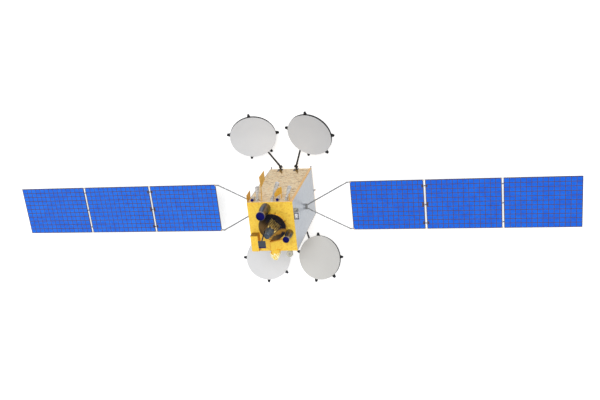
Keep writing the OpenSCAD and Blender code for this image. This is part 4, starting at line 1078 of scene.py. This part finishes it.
for ns, sx in SIDES.items():
    for index, name in enumerate(PANEL_NAMES):
        body, x0 = f"{ns}_{name}_panel", wing_x(index)
        pitch_x, pitch_y = (PANEL_LENGTH - 2 * BORDER) / COLUMNS, (PANEL_CHORD - 2 * BORDER) / ROWS
        cell_x = (pitch_x - COLUMN_LINE - (SPLIT - 1) * CELL_LINE) / SPLIT
        cell_y = (pitch_y - ROW_LINE - (SPLIT - 1) * CELL_LINE) / SPLIT
        sheet = Shape(mirrored(sx, 1))
        corners, faces = [], []
        lefts = starts(x0 + BORDER + COLUMN_LINE / 2, COLUMNS, pitch_x, cell_x)
        lows = starts(-PANEL_CHORD / 2 + BORDER + ROW_LINE / 2, ROWS, pitch_y, cell_y)
        for left, low in product(lefts, lows):
            at_end = (left - x0 < HINGE_REACH and hinges_up[name][0]) or \
                (x0 + PANEL_LENGTH - left - cell_x < HINGE_REACH and hinges_up[name][1])
            if at_end and any(abs(y - low - cell_y / 2) < 0.035 + cell_y / 2 for y in EDGE_HINGES):
                continue
            base = len(corners)
            corners += [(left + u * cell_x, low + v * cell_y, z) for z in (TOP + 0.0004, TOP + 0.0016)
                        for u, v in ((0, 0), (1, 0), (1, 1), (0, 1))]
            faces += [[base + k for k in face] for face in CELL_FACES]
        sheet.solid(corners, faces)
        sheet.build(f"{body}_cells", cells[ns], body, "solar_cells")
        bed = Shape(mirrored(sx, 1))
        bed.block((x0 + BORDER, -PANEL_CHORD / 2 + BORDER, TOP - 0.001),
                  (x0 + PANEL_LENGTH - BORDER, PANEL_CHORD / 2 - BORDER, TOP + 0.0006), 0.0003)
        bed.paint(1).block((x0 + 0.004, -PANEL_CHORD / 2 + 0.004, UNDER - 0.0012),
                           (x0 + PANEL_LENGTH - 0.004, PANEL_CHORD / 2 - 0.004, UNDER + 0.001), 0.0005)
        bed.build(f"{body}_skins", [substrate, panel_back], body, "solar_cells")

        loom = Shape(mirrored(sx, 1))
        for y in (-0.62, 0.62):
            for k in range(3):
                loom.block((x0 + 0.09, y + k * 0.03 - 0.042, UNDER - 0.004),
                           (x0 + PANEL_LENGTH - 0.09, y + k * 0.03 - 0.018, UNDER), 0.001)
        for x in (x0 + 0.28, x0 + PANEL_LENGTH - 0.28):
            loom.block((x - 0.012, -1.08, UNDER - 0.0035), (x + 0.012, 1.08, UNDER), 0.001)
        loom.paint(1)
        for x in np.arange(x0 + 0.4, x0 + PANEL_LENGTH - 0.2, 0.42):
            for y in (-0.62, 0.62):
                loom.block((x - 0.01, y - 0.055, UNDER - 0.0055), (x + 0.01, y + 0.055, UNDER), 0.001)
        loom.paint(2)
        for x in (x0 + 0.55, x0 + PANEL_LENGTH - 0.55):
            for y in (-0.98, 0, 0.98):
                loom.turned([(0.012, -0.006), (0.034, -0.006), (0.04, -0.002), (0.04, 0.001), (0.012, 0.001)],
                            shift(x, y, UNDER), 32, True)
        loom.build(f"{body}_harness", [harness_tan, fitting_beige, aluminium], body, "structure")

        caps = Shape(mirrored(sx, 1))
        ends = [(x0, -1)] if index else []
        ends += [(x0 + PANEL_LENGTH, 1)] if index < 2 else []
        for x, way in ends:
            for y in (-PANEL_CHORD / 2 + 0.03, PANEL_CHORD / 2 - 0.03):
                caps.block((x - 0.03, y - 0.03, WING_Z - FIT), (x + way * 0.022, y + 0.03, WING_Z + FIT), 0.003)
        if index == 0:
            for y in (-CORNER_HINGE_Y, CORNER_HINGE_Y):
                caps.block((x0 - 0.004, y - 0.05, WING_Z - FIT), (x0 + 0.07, y + 0.05, WING_Z + FIT), 0.003)
            caps.bolts([(x0 + 0.05, y, WING_Z + FIT) for y in (-CORNER_HINGE_Y, CORNER_HINGE_Y)], Z, 0.006, 0.004)
        caps.bolts([(x - way * 0.012, y, WING_Z + FIT) for x, way in ends
                    for y in (-PANEL_CHORD / 2 + 0.03, PANEL_CHORD / 2 - 0.03)], Z, 0.006, 0.004)
        caps.build(f"{body}_fittings", fitting_beige, body, "structure")

    # Yoke: sockets on the tube ends, a loom along each tube and its clips
    hardware = Shape(mirrored(sx, 1))
    for sy in (-1, 1):
        start = Vector((HALF_X + 0.075, sy * 0.07, WING_Z))
        end = Vector((WING_ROOT_X - PANEL_GAP - 0.05, sy * CORNER_HINGE_Y, WING_Z))
        length = (end - start).length
        along = (end - start).normalized()
        side = Vector((-along.y, along.x, 0)) * sy
        loom = [(t, 0.031 + 0.002 * sin(9 * t)) for t in np.linspace(0.22, length - 0.26, 26)]
        dress_tube(hardware, start, along, side, [(0.07, 0.2, 0.0285), (length - 0.24, length - 0.06, 0.0285)],
                   (0.0255, 0.012, 28), loom, 0.0055, np.linspace(0.35, length - 0.4, 6),
                   (0.008, 0.0275, 24), (0.031, 0.0085))
    hardware.build(f"{ns}_yoke_hardware", [tube_grey, frame_grey, aluminium], f"{ns}_yoke", "structure")

    drive = Shape().bolts([(sx * (HALF_X + 0.012), y, WING_Z + z) for y, z, _ in circle(0.125, 0, 12)],
                          X * sx, 0.006, 0.005)
    drive.turned([(0.142, 0.0), (0.158, 0.0), (0.158, 0.006), (0.142, 0.009)],
                 shift(sx * HALF_X, 0, WING_Z) @ facing(X * sx), 64, True)
    drive.build(f"{ns}_drive_bolts", aluminium, "bus", "structure")


# ---- Reflectors and booms ----

RIBS, HUB_R = 6, 0.17
LUG_ANGLES = (94, 168, 260, 311, 5)
LUG_OUTLINE = [(0, -0.08), (0.05, -0.07), (0.16, -0.04), (0.16, 0.04), (0.05, 0.07), (0, 0.08)]
LUG_FACES = [[5, 4, 3, 2, 1, 0], [6, 7, 8, 9, 10, 11]]
LUG_FACES += [[i, (i + 1) % 6, (i + 1) % 6 + 6, i + 6] for i in range(6)]
# Foil over each boom bracket: the wrap is real, and its outline leans north with height to follow a dark streak
# of painted shade on the wall.
BRACKET_FAN = [(-0.07, 0.42), (0.06, 0.42), (0.14, 0.62), (0.21, 0.9), (0.2, 0.98), (0.14, 0.86), (0.03, 0.66)]
for ew, ns, sx, sy in CORNERS:
    corner = f"{ew}_{ns}"
    body = f"{corner}_reflector"
    centre, hinge, inset = DISH_CENTRES[corner], BOOM_HINGES[ns], BOOM_INSETS[ns]
    place = mirrored(sx, sy) @ Matrix.Translation(centre) @ DISH_TURN
    dish = Shape(place)
    radii = [DISH_R * k / 40 for k in range(41)]
    face = [(r, DISH_SAG * ((r / DISH_R) ** 2 - 1)) for r in radii]
    edge = [(DISH_R - 0.002, -0.0005), (DISH_R, -0.003), (DISH_R, -0.012), (DISH_R - 0.02, -0.02)]
    dish.turned(face[:-1] + edge + [(r, z - DISH_SHELL) for r, z in face[-2::-1]], steps=160)
    dish.paint(1)
    dish.turned([(DISH_R - 0.02, -0.016), (DISH_R, -0.0125), (DISH_R, -DISH_RIM + 0.004),
                 (DISH_R - 0.004, -DISH_RIM), (DISH_R - 0.016, -DISH_RIM), (DISH_R - 0.02, -DISH_RIM + 0.004),
                 (DISH_R - 0.02, -0.034)], steps=160, loop=True)
    # The west-north and east-north reflectors take the darker copies of the face, as painted shade.
    face_look = {"west_north": dish_face_warm_shaded, "east_north": dish_face_shaded}.get(corner, dish_face)
    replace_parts(dish.build(f"{body}_dish", [face_look, black_paint], body, "reflector_face", 30), body)

    back = Shape(place)
    back.turned([(0, -DISH_SAG - 0.02), (HUB_R, -DISH_SAG - 0.02), (HUB_R, -0.182), (HUB_R - 0.01, -0.192),
                 (0, -0.192)], steps=64)
    ring_z = DISH_SAG * (0.5 ** 2 - 1) - DISH_SHELL
    back.turned([(r, ring_z + z) for r, z in ((0.55, 0.004), (0.574, 0.01), (0.574, -0.042), (0.57, -0.045),
                                              (0.554, -0.045), (0.55, -0.042))], steps=120, loop=True)
    for k in range(RIBS):
        stations = np.linspace(HUB_R - 0.005, DISH_R - 0.022, 14)
        points, faces = [], []
        for r in stations:
            top = DISH_SAG * ((r / DISH_R) ** 2 - 1) - DISH_SHELL + 0.004
            share = (r - HUB_R) / (DISH_R - HUB_R)
            bottom = -0.17 + share * 0.105
            points += [(r, w, z) for w, z in ((-0.007, top), (0.007, top), (0.007, bottom), (-0.007, bottom))]
        last = len(points) - 4
        for i in range(0, last, 4):
            faces += [[i + a, i + (a + 1) % 4, i + 4 + (a + 1) % 4, i + 4 + a] for a in range(4)]
        faces += [[3, 2, 1, 0], [last + a for a in range(4)]]
        back.solid(points, faces, Matrix.Rotation(2 * pi * (k + 0.5) / RIBS, 4, "Z"))
    back.paint(1).bolts(circle(0.15, -0.191, 12), -Z, 0.007, 0.006)
    back.build(f"{body}_ribs", [carbon, aluminium], body, "carbon")

    lugs = Shape(place @ mirrored(sx, sy))
    for angle in LUG_ANGLES:
        spot = Matrix.Rotation(radians(angle + LUG_TURNS[corner]), 4, "Z")
        spot = spot @ shift(DISH_R - 0.01, 0, 0.02 - DISH_RIM)
        lugs.paint(0).solid([(x, y, z) for z in (0.0, 0.08) for x, y in LUG_OUTLINE], LUG_FACES, spot)
        lugs.paint(1).turned([(0.008, 0.078), (0.022, 0.078), (0.022, 0.086), (0.008, 0.086)],
                             spot @ shift(0.11, 0, 0), 24, True)
        lugs.bolts([tuple(spot @ Vector((0.035, w, 0.08))) for w in (-0.045, 0.045)], Z, 0.006, 0.004)
    lugs.build(f"{body}_lugs", [black_paint, dark_metal], body, "carbon")

    # Boom: collars at both ends, a loom held by clips, and bolts through the flange
    turn = DISH_TURN.to_3x3()
    elbow = centre + turn @ Vector((0, 0, -BOOM_STAND_OFF)) + inset * (DISH_YAW.to_3x3() @ -X)
    length = (elbow - hinge).length
    along = (elbow - hinge).normalized()
    fittings = Shape(mirrored(sx, sy))
    dress_tube(fittings, hinge, along, along.cross(X).normalized(),
               [(0.1, 0.26, 0.05), (length - 0.24, length - 0.05, 0.051)], (BOOM_R + 0.0005, 0.015, 36),
               [(t, BOOM_R + 0.006) for t in np.linspace(0.28, length - 0.26, 20)], 0.006,
               np.linspace(0.4, length - 0.4, 5), (0.009, BOOM_R + 0.0025, 32), (BOOM_R + 0.006, 0.009))
    flange = Matrix.Translation(centre) @ DISH_TURN
    fittings.bolts([flange @ Vector(spot) for spot in circle(0.112, FLANGE_Z, 8, 0.2)], turn @ -Z, 0.009, 0.008)
    fittings.build(f"{corner}_boom_fittings", [carbon, frame_grey, black_paint], body, "carbon")

    wrap = Shape(mirrored(1, sy)).slab([(sx * hinge.x + u, v) for u, v in BRACKET_FAN], 0.034, 0.016,
                                       shift(0, HALF_Y + 0.033, 0) @ Matrix.Rotation(pi / 2, 4, "X"))
    wrap.build(f"{corner}_bracket_foil", brown_gold, "bus", "gold_foil", 40,
               wrinkle=(0.004, (0.06, 0.06, 0.06), 121))


# ---- Floor, lights and camera ----

def seen_share(tree):
    """1 for camera, glossy and transmission rays, and 0 for the rays that light the object."""
    path = tree.nodes.new("ShaderNodeLightPath")
    share = path.outputs["Is Camera Ray"]
    for other in ("Is Glossy Ray", "Is Transmission Ray"):
        most = tree.nodes.new("ShaderNodeMath")
        most.operation = "MAXIMUM"
        tree.links.new(share, most.inputs[0])
        tree.links.new(path.outputs[other], most.inputs[1])
        share = most.outputs[0]
    return share


FLOOR_HALF, FLOOR_GLOW = 60, 0.56
floor_mesh = bpy.data.meshes.new("floor")
floor_mesh.from_pydata([(-FLOOR_HALF, -FLOOR_HALF, 0), (FLOOR_HALF, -FLOOR_HALF, 0),
                        (FLOOR_HALF, FLOOR_HALF, 0), (-FLOOR_HALF, FLOOR_HALF, 0)], [], [(0, 1, 2, 3)])
floor = bpy.data.objects.new("floor", floor_mesh)
floor.location.z = -0.002
scene.collection.objects.link(floor)
floor_look = bpy.data.materials.new("floor")
floor_look.use_nodes = True
tree = floor_look.node_tree
tree.nodes.clear()
matte, glow, both, out, lift = (tree.nodes.new("ShaderNode" + kind) for kind in (
    "BsdfDiffuse", "Emission", "AddShader", "OutputMaterial", "Math"))
matte.inputs["Color"].default_value = (0.8, 0.8, 0.8, 1)
lift.operation = "MULTIPLY"
lift.inputs[1].default_value = FLOOR_GLOW
tree.links.new(seen_share(tree), lift.inputs[0])
tree.links.new(lift.outputs[0], glow.inputs["Strength"])
tree.links.new(matte.outputs[0], both.inputs[0])
tree.links.new(glow.outputs[0], both.inputs[1])
tree.links.new(both.outputs[0], out.inputs["Surface"])
floor_mesh.materials.append(floor_look)

world = bpy.data.worlds.new("studio")
scene.world = world
world.use_nodes = True
tree = world.node_tree
tree.nodes.clear()
ambient, white, mixer, out = (tree.nodes.new("ShaderNode" + kind) for kind in (
    "Background", "Background", "MixShader", "OutputWorld"))
ambient.inputs["Strength"].default_value = 0.55
white.inputs["Strength"].default_value = 1.0
for background in (ambient, white):
    background.inputs["Color"].default_value = (1, 1, 1, 1)
tree.links.new(seen_share(tree), mixer.inputs[0])
tree.links.new(ambient.outputs[0], mixer.inputs[1])
tree.links.new(white.outputs[0], mixer.inputs[2])
tree.links.new(mixer.outputs[0], out.inputs["Surface"])

key = bpy.data.lights.new("key", "SUN")
key.energy = 1.5
key.angle = radians(25)
key_light = bpy.data.objects.new("key", key)
key_light.rotation_mode = "QUATERNION"
key_light.rotation_quaternion = Vector((0.12, 0.42, 0.9)).to_track_quat("Z", "Y")
scene.collection.objects.link(key_light)

RIGHT, UP, BACK = (0.974, -0.1006, -0.2031), (0.0191, 0.9293, -0.3688), (0.2259, 0.3553, 0.907)
lens = bpy.data.cameras.new("camera")
lens.lens = 50.65
lens.sensor_width = 36
lens.clip_end = 300
camera = bpy.data.objects.new("camera", lens)
camera.matrix_world = shift(9.769, 14.422, 38.268) @ Matrix((RIGHT, UP, BACK)).transposed().to_4x4()
scene.collection.objects.link(camera)
scene.camera = camera
scene.view_settings.view_transform = "Standard"
